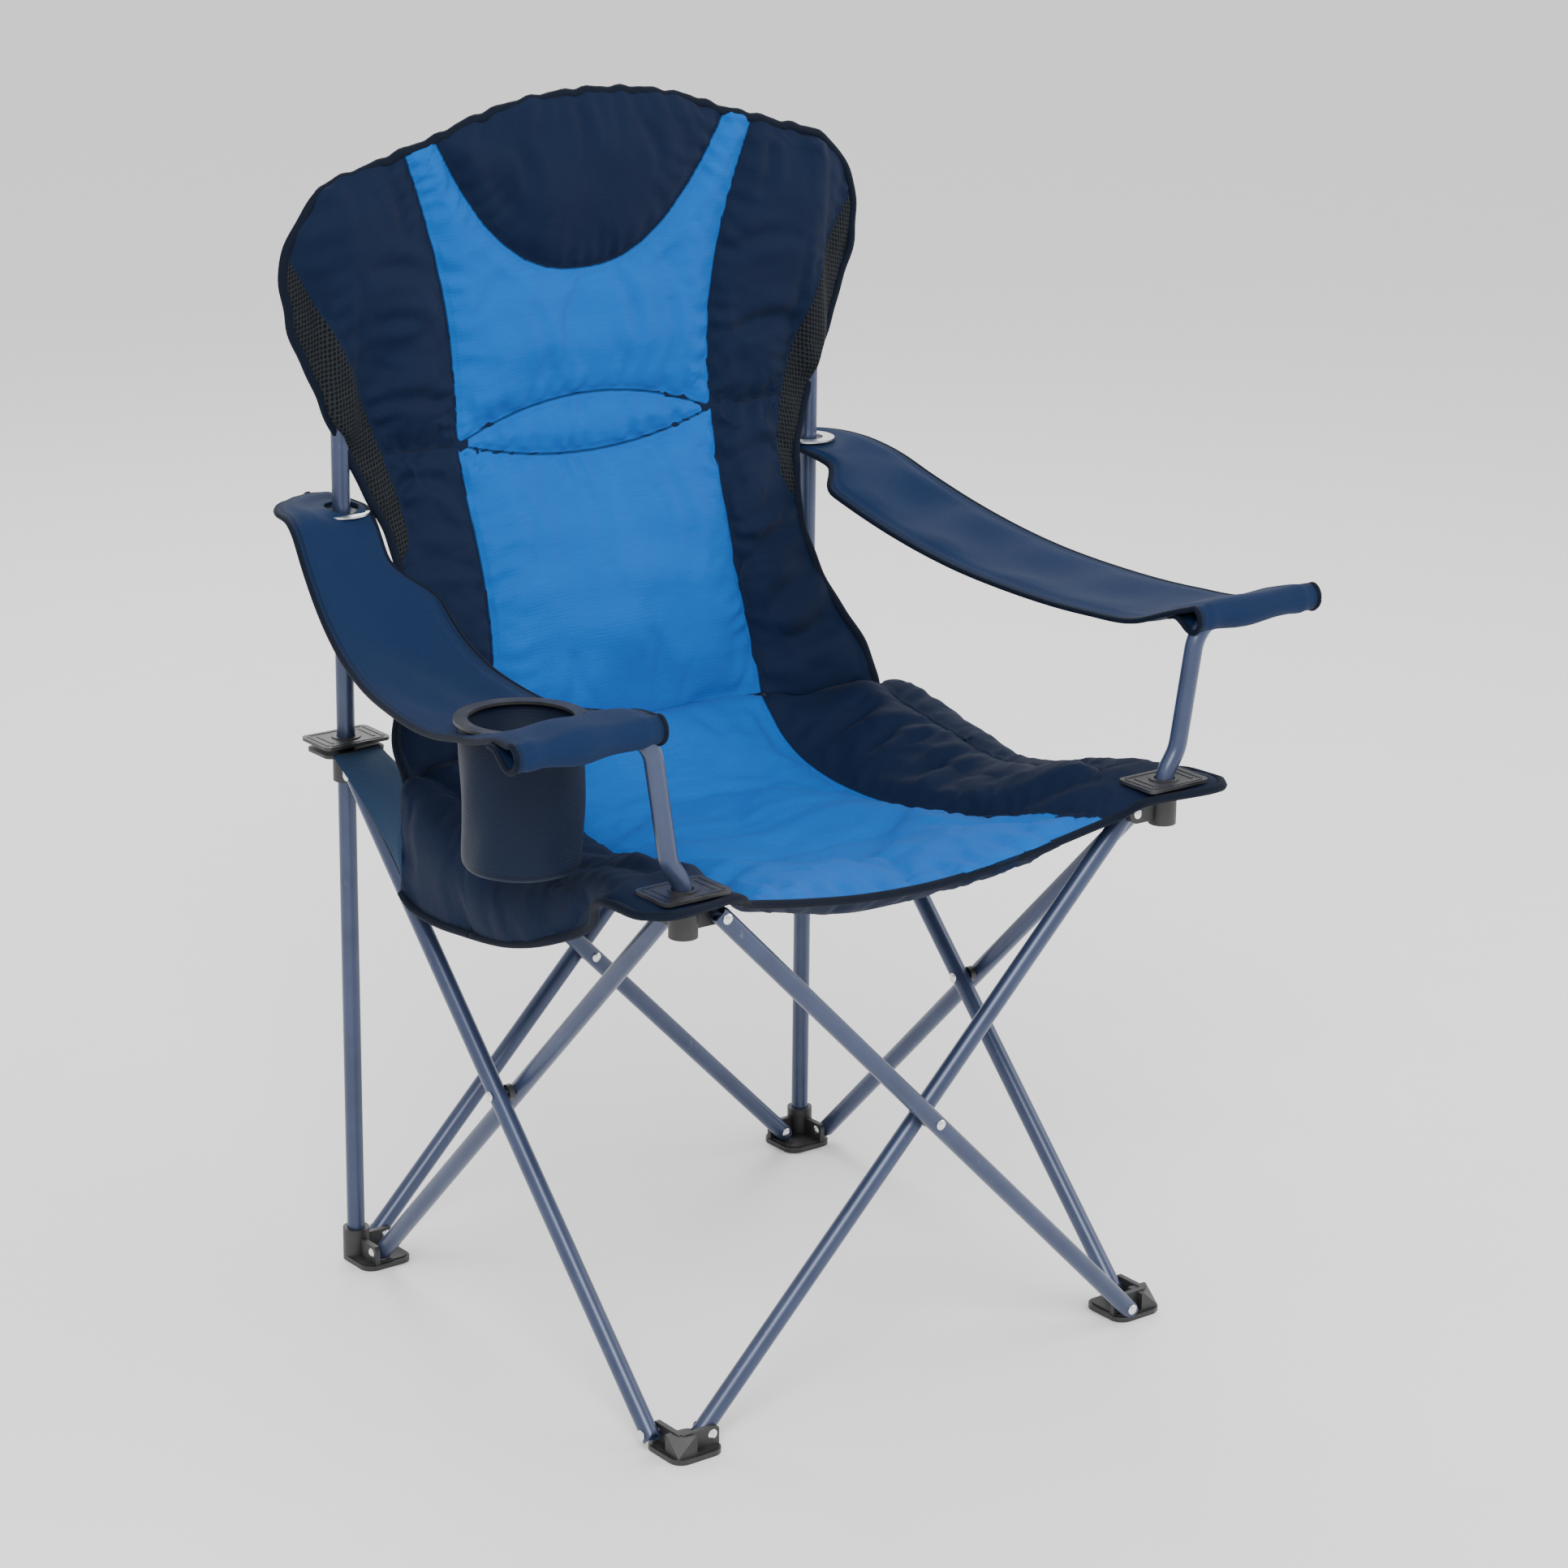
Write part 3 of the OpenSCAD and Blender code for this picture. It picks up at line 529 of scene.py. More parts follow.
def crease(obj, seed, puff_wrinkle, seam_depth, pucker, axes, folds):
    """Fine relief after the simulation: seams pressed in, puckers that run out from them, slack wrinkles,
    and folds. A fold is (from, to, half width, depth), its ends in the plane of axes."""
    mesh = obj.data
    co = coords(mesh)
    no = normals(mesh)
    seam = read_attribute(mesh, "seam")
    run = read_attribute(mesh, "run")
    net = read_attribute(mesh, "net")
    rest = read_vector(mesh, "flat")
    loose = smooth(net, -0.002, 0.006)
    amount = -seam_depth * np.exp(-(seam / 0.0035) ** 2) * loose
    wave = np.sin(run * 2 * math.pi / 0.021 + 2.2 * noise(rest, 0.09, seed))
    wave = wave * (0.6 + 0.5 * noise(rest, 0.05, seed + 1))
    amount = amount + pucker * wave * np.exp(-seam / 0.020) * smooth(seam, 0.001, 0.006) * loose
    slack = noise(rest * (1.0, 0.45, 1.0), 0.075, seed + 2)
    slack = slack + 0.55 * noise(rest * (0.5, 1.0, 1.0), 0.05, seed + 3)
    amount = amount + puff_wrinkle * slack * smooth(seam, 0.004, 0.03) * (0.25 + 0.75 * loose)
    q = co[:, axes]
    for (u0, v0), (u1, v1), width, depth in folds:
        along = np.array([u1 - u0, v1 - v0])
        length = np.linalg.norm(along)
        away = q - (u0, v0)
        k = away @ along / length**2
        bend = 0.10 * length * np.sin(np.clip(k, 0, 1) * math.pi)
        d = np.abs(away @ np.array([-along[1], along[0]]) / length - bend)
        taper = np.sin(np.clip(k, 0, 1) * math.pi) ** 0.6
        bank = 0.6 * np.exp(-((d - 1.9 * width) / width) ** 2)
        amount += depth * taper * (bank - 1.2 * np.exp(-(d / width) ** 2))
    set_coords(mesh, co + no * amount[:, None])


def tape(name, points, radius, flat=1.0, up=(0.02, 0.03, 1), closed=False):
    """A bias binding along points, with the cloth's attributes."""
    pts = np.array(points)
    if closed:
        pts = (np.roll(pts, 1, 0) + 2 * pts + np.roll(pts, -1, 0)) / 4
    else:
        pts[1:-1] = (pts[:-2] + 2 * pts[1:-1] + pts[2:]) / 4
    verts, faces = tube_mesh(pts, radius, 8, closed=closed, flat=flat, up=up)
    obj = new_mesh(name, verts, faces)
    length = np.concatenate([[0], np.cumsum(np.linalg.norm(np.diff(pts, axis=0), axis=1))])
    around = np.tile(np.arange(8) * radius * 0.8, len(pts))
    plain_cloth(obj.data, 1.0, 0.0, np.stack([np.repeat(length, 8), around, np.zeros(len(verts))], 1))
    obj.data.materials.append(M_BINDING)
    return obj


def join(obj, *others):
    bpy.ops.object.select_all(action="DESELECT")
    for o in others:
        o.select_set(True)
    obj.select_set(True)
    bpy.context.view_layer.objects.active = obj
    bpy.ops.object.join()
    obj.select_set(False)
    return obj


# ---------------------------------------- the back

BACK_LOW, BACK_SHOULDER, TOP_HALF = 0.487, 0.980, 0.262
LUMBAR_Z, LUMBAR_HALF, LUMBAR_SIDE, MESH_LOW = 0.742, 0.137, (0.235, 0.745), 0.652
CRESCENT_Z, CRESCENT_RISE, CRESCENT_HALF, CRESCENT_POWER = 0.884, 0.124, 0.152, 2.35

# by height: half width, front face, inner edge of the mesh and half width of the blue; by x: the top edge
side_w = curve1([(0.487, 0.245), (0.505, 0.248), (0.534, 0.246), (0.567, 0.233), (0.594, 0.223),
                 (0.628, 0.217), (0.653, 0.216), (0.680, 0.219), (0.704, 0.226), (0.737, 0.240),
                 (0.762, 0.251), (0.792, 0.265), (0.837, 0.285), (0.870, 0.298), (0.895, 0.303),
                 (0.925, 0.302), (0.950, 0.290), (0.967, 0.277), (0.980, 0.262)])
top_z = curve1([(0.0, 1.0405), (0.06, 1.036), (0.115, 1.024), (0.155, 1.010), (0.19, 1.001), (0.215, 0.993),
                (0.24, 0.987), (0.262, 0.980)])
face_y = curve1([(0.487, 0.1675), (0.530, 0.182), (0.570, 0.188), (0.637, 0.204), (0.700, 0.226),
                 (0.742, 0.237), (0.800, 0.2425), (1.041, 0.2425)])
net_x = curve1([(0.640, 0.224), (0.652, 0.214), (0.668, 0.204), (0.700, 0.205), (0.745, 0.216),
                (0.800, 0.236), (0.860, 0.264), (0.924, 0.301), (0.960, 0.330)])
blue_x = curve1([(0.480, 0.140), (0.529, 0.142), (0.570, 0.137), (0.742, 0.137), (0.800, 0.137),
                 (0.850, 0.141), (0.900, 0.151), (0.950, 0.166), (1.000, 0.184), (1.050, 0.200)])


def crescent_z(x):
    """The headrest's lower seam."""
    return CRESCENT_Z + CRESCENT_RISE * (np.abs(x) / CRESCENT_HALF) ** CRESCENT_POWER


def lumbar_arc(rise):
    return [(x, LUMBAR_Z + rise * (1 - (x / LUMBAR_HALF) ** 2))
            for x in np.linspace(-LUMBAR_HALF, LUMBAR_HALF, 21)]


CRESCENT = [(x, crescent_z(x)) for x in np.linspace(-0.163, 0.163, 41)]
EYE_TOP, EYE_LOW = lumbar_arc(0.030), lumbar_arc(-0.021)


def back_place(s, t):
    a = np.abs(s)
    ruffle = 0.0011 * np.sin(s * 52) + 0.0009 * np.sin(s * 87 + 1) - 0.001
    low_z = BACK_LOW - 0.016 * smooth(a, 0.55, 0.95)
    z = low_z + (top_z(a * TOP_HALF) + ruffle - low_z) * t
    uneven = 1 + 0.0035 * np.sin(t * 47 + 2 * s) + 0.0025 * np.sin(t * 83 - s)
    x = s * side_w(BACK_LOW + (BACK_SHOULDER - BACK_LOW) * t) * uneven
    x = x * (1 + 0.065 * smooth(z, 0.610, 0.520) * (s < 0))
    y = face_y(z) + 0.0108 - 0.040 * a**3 * smooth(z, 0.630, BACK_LOW)
    return np.stack([x, y, z], 2)


def back_describe(s, t, xyz):
    x, z = xyz[:, 0], xyz[:, 2]
    a = np.abs(x)
    q = np.stack([x, z], 1)
    lines = []
    zs = np.linspace(0.480, 1.045, 60)
    zn = np.linspace(MESH_LOW, 0.945, 40)
    side_x, side_z = LUMBAR_SIDE
    for sign in (-1, 1):
        lines.append([(sign * b, zz) for b, zz in zip(blue_x(zs), zs)])
        lines.append([(sign * b, zz) for b, zz in zip(net_x(zn), zn)])
        lines.append([(sign * LUMBAR_HALF, LUMBAR_Z), (sign * side_x, side_z)])
    seam, run = nearest_seam(q, lines + [CRESCENT, EYE_TOP, EYE_LOW])
    slope = CRESCENT_RISE * CRESCENT_POWER / CRESCENT_HALF * (a / CRESCENT_HALF) ** (CRESCENT_POWER - 1)
    headrest = (z - crescent_z(x)) / np.sqrt(1 + slope**2)
    tone = np.maximum(a - blue_x(z), headrest)
    mesh_edge = np.where(z < MESH_LOW, 0.01, net_x(z) - a)
    top_x, top_y = np.array(EYE_TOP).T
    low_x, low_y = np.array(EYE_LOW).T
    beside = np.where(a < side_x, z - np.interp(a, [LUMBAR_HALF, side_x], [LUMBAR_Z, side_z]), 1.0)
    arc_a = np.where(a < LUMBAR_HALF, z - np.interp(x, top_x, top_y), beside)
    arc_b = np.where(a < LUMBAR_HALF, z - np.interp(x, low_x, low_y), 1.0)
    return {"tone": tone, "net": mesh_edge, "seam": seam, "run": run, "arc_a": arc_a, "arc_b": arc_b}


def back_thick(s, t):
    a = np.abs(s)
    z = 0.52 + 0.5 * t
    centre = 0.0085 * (1 - 0.45 * smooth(a, 0.80, 1.0))
    return centre + 0.0015 * smooth(z, 0.9, 1.0)


def post_pocket(xyz):
    """Half thickness that the pad keeps around the rear posts."""
    x, z = np.abs(xyz[:, 0]), xyz[:, 2]
    return 0.0138 * np.exp(-((x - P) / 0.0155) ** 4) * smooth(z, 0.745, 0.770) * smooth(z, 0.984, 0.972)


def rim_line(obj, count):
    """Points round the rim of a panel, halfway between its two layers of count vertices."""
    co = coords(obj.data)
    return [(co[i] + co[i + count]) / 2 for i in obj["rim"]]


BACK_COLS, BACK_ROWS = 119, 111
back = panel("back_pad", back_place, BACK_COLS, BACK_ROWS, back_thick, back_describe,
             pressure=3.2, slack=0.012, cap=0.016, core=post_pocket)
edge_line = rim_line(back, BACK_COLS * BACK_ROWS)
refine(back)
BACK_FOLDS = [
    ((-0.230, 0.905), (-0.160, 0.893), 0.008, 0.0030), ((-0.228, 0.858), (-0.160, 0.850), 0.007, 0.0026),
    ((-0.215, 0.790), (-0.140, 0.775), 0.007, 0.0027), ((-0.205, 0.720), (-0.140, 0.705), 0.008, 0.0032),
    ((0.150, 0.880), (0.232, 0.891), 0.008, 0.0027), ((0.145, 0.800), (0.235, 0.812), 0.007, 0.0027),
    ((0.140, 0.690), (0.215, 0.700), 0.008, 0.0032), ((0.150, 0.640), (0.212, 0.655), 0.007, 0.0030),
    ((0.135, 0.600), (0.205, 0.630), 0.008, 0.0035), ((0.150, 0.555), (0.215, 0.590), 0.009, 0.0040),
    ((0.165, 0.515), (0.235, 0.550), 0.009, 0.0040), ((-0.215, 0.650), (-0.140, 0.640), 0.008, 0.0030),
    ((-0.225, 0.590), (-0.150, 0.560), 0.008, 0.0035), ((-0.235, 0.545), (-0.160, 0.515), 0.009, 0.0038),
    ((0.035, 0.880), (0.045, 0.785), 0.007, 0.0022), ((-0.060, 0.860), (-0.050, 0.785), 0.007, 0.0018),
    ((0.090, 0.850), (0.085, 0.780), 0.006, 0.0020), ((-0.015, 0.700), (-0.020, 0.610), 0.008, 0.0016),
    ((0.070, 0.700), (0.075, 0.600), 0.007, 0.0020), ((-0.090, 0.700), (-0.085, 0.620), 0.007, 0.0018),
    ((0.020, 0.570), (0.035, 0.500), 0.008, 0.0020), ((-0.060, 0.560), (-0.075, 0.500), 0.008, 0.0020),
    ((0.060, 1.010), (0.075, 0.960), 0.007, 0.0020), ((-0.080, 1.005), (-0.060, 0.955), 0.007, 0.0020),
    ((-0.010, 1.030), (-0.005, 0.985), 0.006, 0.0018), ((0.200, 0.985), (0.190, 0.930), 0.007, 0.0024),
    ((-0.205, 0.985), (-0.190, 0.930), 0.007, 0.0024)]
crease(back, 11, 0.0022, 0.0028, 0.0024, [0, 2], BACK_FOLDS)
back.data.materials.append(M_PANEL)
join(back, tape("back_edge", edge_line[BACK_COLS - 1:] + edge_line[:1], 0.0042, 0.9, (0, 1, 0)))
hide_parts("back_upper", "back_lower")
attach(back, "rear_right_leg")
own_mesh(back)


# ---------------------------------------- the seat

ACROSS = np.array([0, 0.20, 0.42, 0.62, 0.78, 0.89, 1.0])
# each row: where it lies along the seat, then its points from the middle to the side, in millimetres
SEAT_ROWS = [
    (-0.249, [(0, -249, 453), (66, -249, 456), (135, -252, 466), (194, -261, 479),
              (224, -277, 488), (284, -287, 489.5), (307, -266, 488)]),
    (-0.215, [(0, -215, 445), (68, -215, 450), (139, -215, 463), (196, -216, 477),
              (226, -218, 488), (286, -221, 489.5), (304, -213, 484)]),
    (-0.165, [(0, -165, 432), (70, -165, 438), (148, -165, 453), (205, -165, 473),
              (238, -165, 486), (279, -166, 478), (283, -168, 446)]),
    (-0.110, [(0, -110, 421), (72, -110, 428), (148, -110, 446), (203, -110, 461),
              (238, -110, 472), (280, -110, 463), (285, -112, 418)]),
    (-0.050, [(0, -50, 417), (72, -50, 424), (146, -50, 439), (202, -50, 453),
              (237, -50, 463), (280, -50, 453), (286, -51, 398)]),
    (0.020, [(0, 20, 419), (71, 20, 425), (142, 20, 436), (200, 20, 455),
              (237, 20, 470), (280, 20, 461), (286, 20, 388)]),
    (0.080, [(0, 80, 430), (70, 80, 433), (139, 80, 442), (198, 74, 461),
              (236, 66, 477), (280, 62, 467), (286, 60, 385)]),
    (0.128, [(0, 128, 448), (70, 128, 450), (140, 125, 456), (196, 116, 470),
              (237, 101, 483), (279, 94, 473), (285, 88, 386)]),
    (0.155, [(0, 155, 468), (70, 154, 469), (140, 149, 472), (192, 137, 480),
              (240, 121, 487), (276, 110, 477), (285, 102, 389)]),
    (0.171, [(0, 178.3, 493), (70, 177.4, 493), (138, 171.2, 493), (190, 159.6, 491),
              (244.5, 138.6, 488), (275, 126, 481), (285, 114, 396)]),
]
STATIONS = np.array([r[0] for r in SEAT_ROWS])
SEAT = np.array([[[c / 1000 for c in p] for p in r[1]] for r in SEAT_ROWS])
T_CUT = (0.0 - STATIONS[0]) / (STATIONS[-1] - STATIONS[0])
SEAT_COLS, SEAT_FRONT_ROWS, SEAT_REAR_ROWS = 141, 50, 36


def seat_place(s, t):
    a = np.abs(s)
    y0 = STATIONS[0] + (STATIONS[-1] - STATIONS[0]) * t
    across = curve1(list(zip(STATIONS, SEAT.reshape(len(STATIONS), -1))))(y0.ravel())
    across = across.reshape(-1, len(ACROSS), 3)
    av = a.ravel()
    i = np.clip(np.searchsorted(ACROSS, av) - 1, 0, len(ACROSS) - 2)
    h = ACROSS[i + 1] - ACROSS[i]
    w = ((av - ACROSS[i]) / h)[:, None]
    slopes = np.gradient(across, ACROSS, axis=1)
    slopes[:, 0, 0] = across[:, 1, 0] / ACROSS[1]
    slopes[:, 0, 1:] = 0
    pick = np.arange(len(av))
    p0, p1 = across[pick, i], across[pick, i + 1]
    m0, m1 = slopes[pick, i] * h[:, None], slopes[pick, i + 1] * h[:, None]
    out = (2 * w**3 - 3 * w**2 + 1) * p0 + (w**3 - 2 * w**2 + w) * m0
    out = out + (-2 * w**3 + 3 * w**2) * p1 + (w**3 - w**2) * m1
    out[:, 0] *= np.sign(s.ravel() + 1e-12)
    # lower by half the pad, as the stations are on its upper face
    out[:, 2] -= 0.006 * (1 - smooth(av, 0.60, 0.78))
    return out.reshape(s.shape + (3,))


seat_blue = curve1([(-0.300, 0.205), (-0.249, 0.186), (-0.215, 0.178), (-0.165, 0.164), (-0.110, 0.154),
                    (-0.064, 0.149), (0.0, 0.143), (0.048, 0.140), (0.200, 0.140)])


def seat_describe(s, t, xyz):
    x, y = xyz[:, 0], xyz[:, 1]
    a = np.abs(x)
    ys = np.linspace(-0.262, 0.185, 60)
    sides = [[(sign * b, yy) for b, yy in zip(seat_blue(ys), ys)] for sign in (-1, 1)]
    seam, run = nearest_seam(np.stack([x, y], 1), sides)
    # the side seam over the ridge
    ridge = np.abs(np.abs(s) - 0.80) * 0.34
    near = (ridge < seam) & (y > -0.20)
    seam[near], run[near] = ridge[near], y[near] + 0.3
    plain = np.full(len(x), 1.0)
    return {"tone": a - seat_blue(y), "net": plain, "seam": seam, "run": run, "arc_a": plain, "arc_b": plain}


def seat_thick(s, t):
    a = np.abs(s)
    corner = smooth(a, 0.60, 0.78) * smooth(t, 0.16, 0.05)
    base = 0.0070 * (1 - smooth(a, 0.66, 0.92)) + 0.0024
    return base * (1 - corner) + 0.0022 * corner


SEAT_T = np.concatenate([np.linspace(0, T_CUT, SEAT_FRONT_ROWS), np.linspace(T_CUT, 1, SEAT_REAR_ROWS)[1:]])
SEAT_N = len(SEAT_T)


def seat_row(t):
    """Where the row that t counts lies: rows are unevenly spaced, with one where the two halves meet."""
    return SEAT_T[np.rint(t * (SEAT_N - 1)).astype(int)]


def seat_corner_flat(xyz):
    return (xyz[:, 1] < -0.222) & (np.abs(xyz[:, 0]) > 0.210)


seat = panel("seat_pad", lambda s, t: seat_place(s, seat_row(t)), SEAT_COLS, SEAT_N,
             lambda s, t: seat_thick(s, seat_row(t)),
             seat_describe, pressure=2.6, slack=0.010, cap=0.014, keep_flat=seat_corner_flat)


def split_rows(obj, columns, rows, cut, name_a, name_b):
    """Cuts a panel at a row into two closed meshes, keeping the whole panel's shading at the cut."""
    mesh = obj.data
    co = coords(mesh)
    no = normals(mesh)
    count = columns * rows
    data = {k: read_attribute(mesh, k) for k in PANEL_KEYS}
    flat = read_vector(mesh, "flat")
    made = []
    for name, r0, r1 in ((name_a, 0, cut), (name_b, cut, rows - 1)):
        keep = np.array([r * columns + c for r in range(r0, r1 + 1) for c in range(columns)])
        keep = np.concatenate([keep, keep + count])
        index = -np.ones(2 * count, int)
        index[keep] = np.arange(len(keep))
        faces = []
        for f in mesh.polygons:
            v = index[list(f.vertices)]
            if (v >= 0).all():
                faces.append(tuple(v))
        for c in range(columns - 1):
            a, b = cut * columns + c, cut * columns + c + 1
            quad = (a, b, b + count, a + count)
            if r0 == cut:
                quad = quad[::-1]
            faces.append(tuple(index[list(quad)])[::-1])
        part = new_mesh(name, co[keep], faces)
        for k, v in data.items():
            attribute(part.data, k, v[keep])
        vector_attribute(part.data, "flat", flat[keep])
        made.append((part, no[keep]))
    bpy.data.objects.remove(obj)
    return made


seat_edge = rim_line(seat, SEAT_COLS * SEAT_N)
SEAT_FOLDS = [
    ((-0.205, -0.238), (-0.080, -0.120), 0.010, 0.0036), ((0.205, -0.238), (0.090, -0.110), 0.010, 0.0036),
    ((0.228, -0.215), (0.130, -0.050), 0.009, 0.0032), ((-0.228, -0.215), (-0.130, -0.050), 0.009, 0.0032),
    ((0.160, -0.020), (0.238, -0.030), 0.008, 0.0032), ((0.155, 0.050), (0.238, 0.042), 0.008, 0.0036),
    ((0.150, 0.105), (0.225, 0.082), 0.009, 0.0040), ((-0.160, -0.035), (-0.238, -0.020), 0.008, 0.0032),
    ((-0.155, 0.035), (-0.238, 0.050), 0.008, 0.0036), ((-0.150, 0.095), (-0.225, 0.088), 0.009, 0.0040),
    ((0.050, 0.168), (0.070, 0.115), 0.008, 0.0022), ((-0.060, 0.168), (-0.072, 0.110), 0.008, 0.0022),
    ((0.120, 0.165), (0.116, 0.100), 0.008, 0.0026), ((0.010, 0.165), (0.000, 0.120), 0.008, 0.0018)]
SEAT_FOLDS += [((x, -0.256), (0.85 * x, -0.214), 0.006, 0.0022)
               for x in (-0.150, -0.113, -0.081, -0.040, -0.006, 0.034, 0.066, 0.108, 0.142)]
crease(seat, 23, 0.0020, 0.0026, 0.0021, [0, 1], SEAT_FOLDS)
halves = split_rows(seat, SEAT_COLS, SEAT_N, SEAT_FRONT_ROWS - 1, "seat_front_pad", "seat_rear_pad")
rim_right = seat_edge[SEAT_COLS - 1:SEAT_COLS + SEAT_N - 1]
rim_left = [seat_edge[0]] + seat_edge[:2 * SEAT_COLS + SEAT_N - 4:-1]
k = SEAT_FRONT_ROWS - 1
front_tapes = [rim_left[k::-1] + seat_edge[1:SEAT_COLS - 1] + rim_right[:k + 1]]
rear_tapes = [rim_right[k:], rim_left[k:]]


for (part, no), runs, body, node in ((halves[0], front_tapes, "seat_front_half", "seat_front"),
                                     (halves[1], rear_tapes, "seat_rear_half", "seat_rear")):
    part.data.normals_split_custom_set_from_vertices([tuple(v) for v in no])
    part.data.materials.append(M_PANEL)
    join(part, *[tape(f"{part.name}_edge{i}", pts, 0.0044, 0.85, (0.05, 0.1, 1))
                 for i, pts in enumerate(runs)])
    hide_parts(node)
    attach(part, body)
    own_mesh(part)


# ---------------------------------------- armrests

ARM_REAR_Z, GRIP_Z, ARM_OUT, SPAN, WRAP = 0.693, 0.6323, 0.094, 2 * P, 0.0112
arm_z = {
    -1: curve1([(-0.12, 0.693), (0.045, 0.6925), (0.09, 0.670), (0.15, 0.645), (0.25, 0.6175), (0.35, 0.604),
                (0.50, 0.5995), (0.68, 0.6065), (0.787, 0.6190), (0.86, 0.6275), (0.94, 0.6400),
                (1.0, 0.6436), (1.05, 0.6436)]),
    1: curve1([(-0.12, 0.693), (0.045, 0.6925), (0.10, 0.6860), (0.18, 0.6705), (0.28, 0.6530),
               (0.46, 0.6305), (0.60, 0.6215), (0.77, 0.6180), (0.88, 0.6215), (0.95, 0.6350),
               (1.0, 0.6436), (1.05, 0.6436)])}


def arm_mid(u, side):
    return np.stack([P + ARM_OUT * u, P - SPAN * u, arm_z[side](u)], -1)


def armrest(side):
    """Length coordinate L runs from the rear end over the tube at the front and back below it."""
    rear_r = 0.056
    top_len = SPAN + rear_r
    wrap_r = WRAP
    columns, rows = 45, 150
    under_rows, under_len = 34, math.pi * wrap_r + 0.030
    lengths = np.concatenate([np.linspace(0, top_len, rows - under_rows),
                              top_len + np.linspace(0, 1, under_rows + 1)[1:] * under_len])
    v = np.linspace(-1, 1, columns)
    pts = np.zeros((rows, columns, 3))
    flat = np.zeros((rows, columns, 3))
    edge = np.zeros((rows, columns))
    for r, l in enumerate(lengths):
        u = (min(l, top_len) - rear_r) / SPAN
        centre = arm_mid(np.array(u if u > 0 else 0.0), side)
        y = P - SPAN * u
        width = (0.112 + (0.138 - 0.112) * max(u, 0)) / 2
        if u < 0:
            width = width * math.sqrt(max(0.0009, 1 - (u * SPAN / rear_r) ** 2))
        front_gap = lengths[-1] - l
        x0 = P + ARM_OUT * max(u, 0)
        z = centre[2]
        # the inner edge keeps clear of the back
        inner = width - max(0.0, width - 0.0235) * float(smooth(np.array(y), 0.160, 0.205))
        x = x0 + np.where(v < 0, v * inner, v * width)
        yy = np.full(columns, y)
        zz = np.full(columns, z)
        # a slight trough across, and sides that curl down
        trough = float(smooth(np.array(u), 0.05, 0.3)) * (1 - float(smooth(np.array(u), 0.8, 0.97)))
        zz = zz - 0.004 * np.cos(v * math.pi / 2) * trough
        zz = zz - 0.0025 * np.abs(v) ** 6
        if l > top_len:
            k = l - top_len
            angle = min(k / wrap_r, math.pi)
            yy = np.full(columns, -P - wrap_r * math.sin(angle))
            zz = np.full(columns, GRIP_Z + wrap_r * math.cos(angle))
            back = max(0, k - math.pi * wrap_r)
            yy = yy + back
            # behind the tube the flap rises to be sewn to the armrest
            over = arm_z[side]((P - yy) / SPAN) - 0.0050
            zz = zz + (over - zz) * smooth(np.full(columns, back), 0.0, 0.026)
        pts[r] = np.stack([x, yy, zz], 1)
        flat[r, :, 0] = v * width
        flat[r, :, 1] = l
        along_edge = width * (1 - np.abs(v))
        if u < 0.0:
            along_edge = rear_r - np.sqrt((v * width) ** 2 + (u * SPAN) ** 2)
        edge[r] = np.minimum(along_edge, front_gap)
    # straight near the tube: the pocket follows the grip, not the armrest's slope
    up = upward(pts)
    wrapped = smooth(lengths, top_len - 0.03, top_len)[:, None]
    half_t = (0.0016 + 0.0022 * smooth(edge, 0.002, 0.018)) * (1 - 0.45 * wrapped)
    # pressed thin and flat under the eyelet
    from_eyelet = np.hypot(pts[:, :, 0] - P, pts[:, :, 1] - P)
    half_t *= 0.42 + 0.58 * smooth(from_eyelet, 0.025, 0.038)
    count = rows * columns
    front = pts - up * half_t[:, :, None]
    rear = pts + up * half_t[:, :, None]
    bumps = noise(pts.reshape(-1, 3) * (1.0, 0.55, 1.0), 0.055, 31 + (side > 0)) * 0.0017
    bumps *= smooth(edge.ravel(), 0.008, 0.03)
    bumps *= smooth(from_eyelet.ravel(), 0.026, 0.050)
    hem = -0.0009 * np.exp(-((edge.ravel() - 0.0105) / 0.0022) ** 2)
    front = front.reshape(-1, 3) - up.reshape(-1, 3) * (bumps + hem)[:, None]
    rear = rear.reshape(-1, 3) - up.reshape(-1, 3) * bumps[:, None]
    quads, rim = layer_faces(columns, rows)
    # turned the other way, as the first layer is the lower one here
    quads = [q[:1] + q[:0:-1] for q in quads]
    verts = np.vstack([front, rear])
    verts[:, 0] *= side
    if side < 0:
        quads = [q[::-1] for q in quads]
    name = "armrest_right" if side < 0 else "armrest_left"
    obj = new_mesh(name, verts, quads)
    mesh = obj.data
    flat = np.vstack([flat.reshape(-1, 3)] * 2)
    plain_cloth(mesh, np.abs(np.tile(edge.ravel(), 2) - 0.0045), flat[:, 1], flat)
    rim_points = (verts[rim] + verts[np.array(rim) + count]) / 2
    mesh.materials.append(M_ARM)
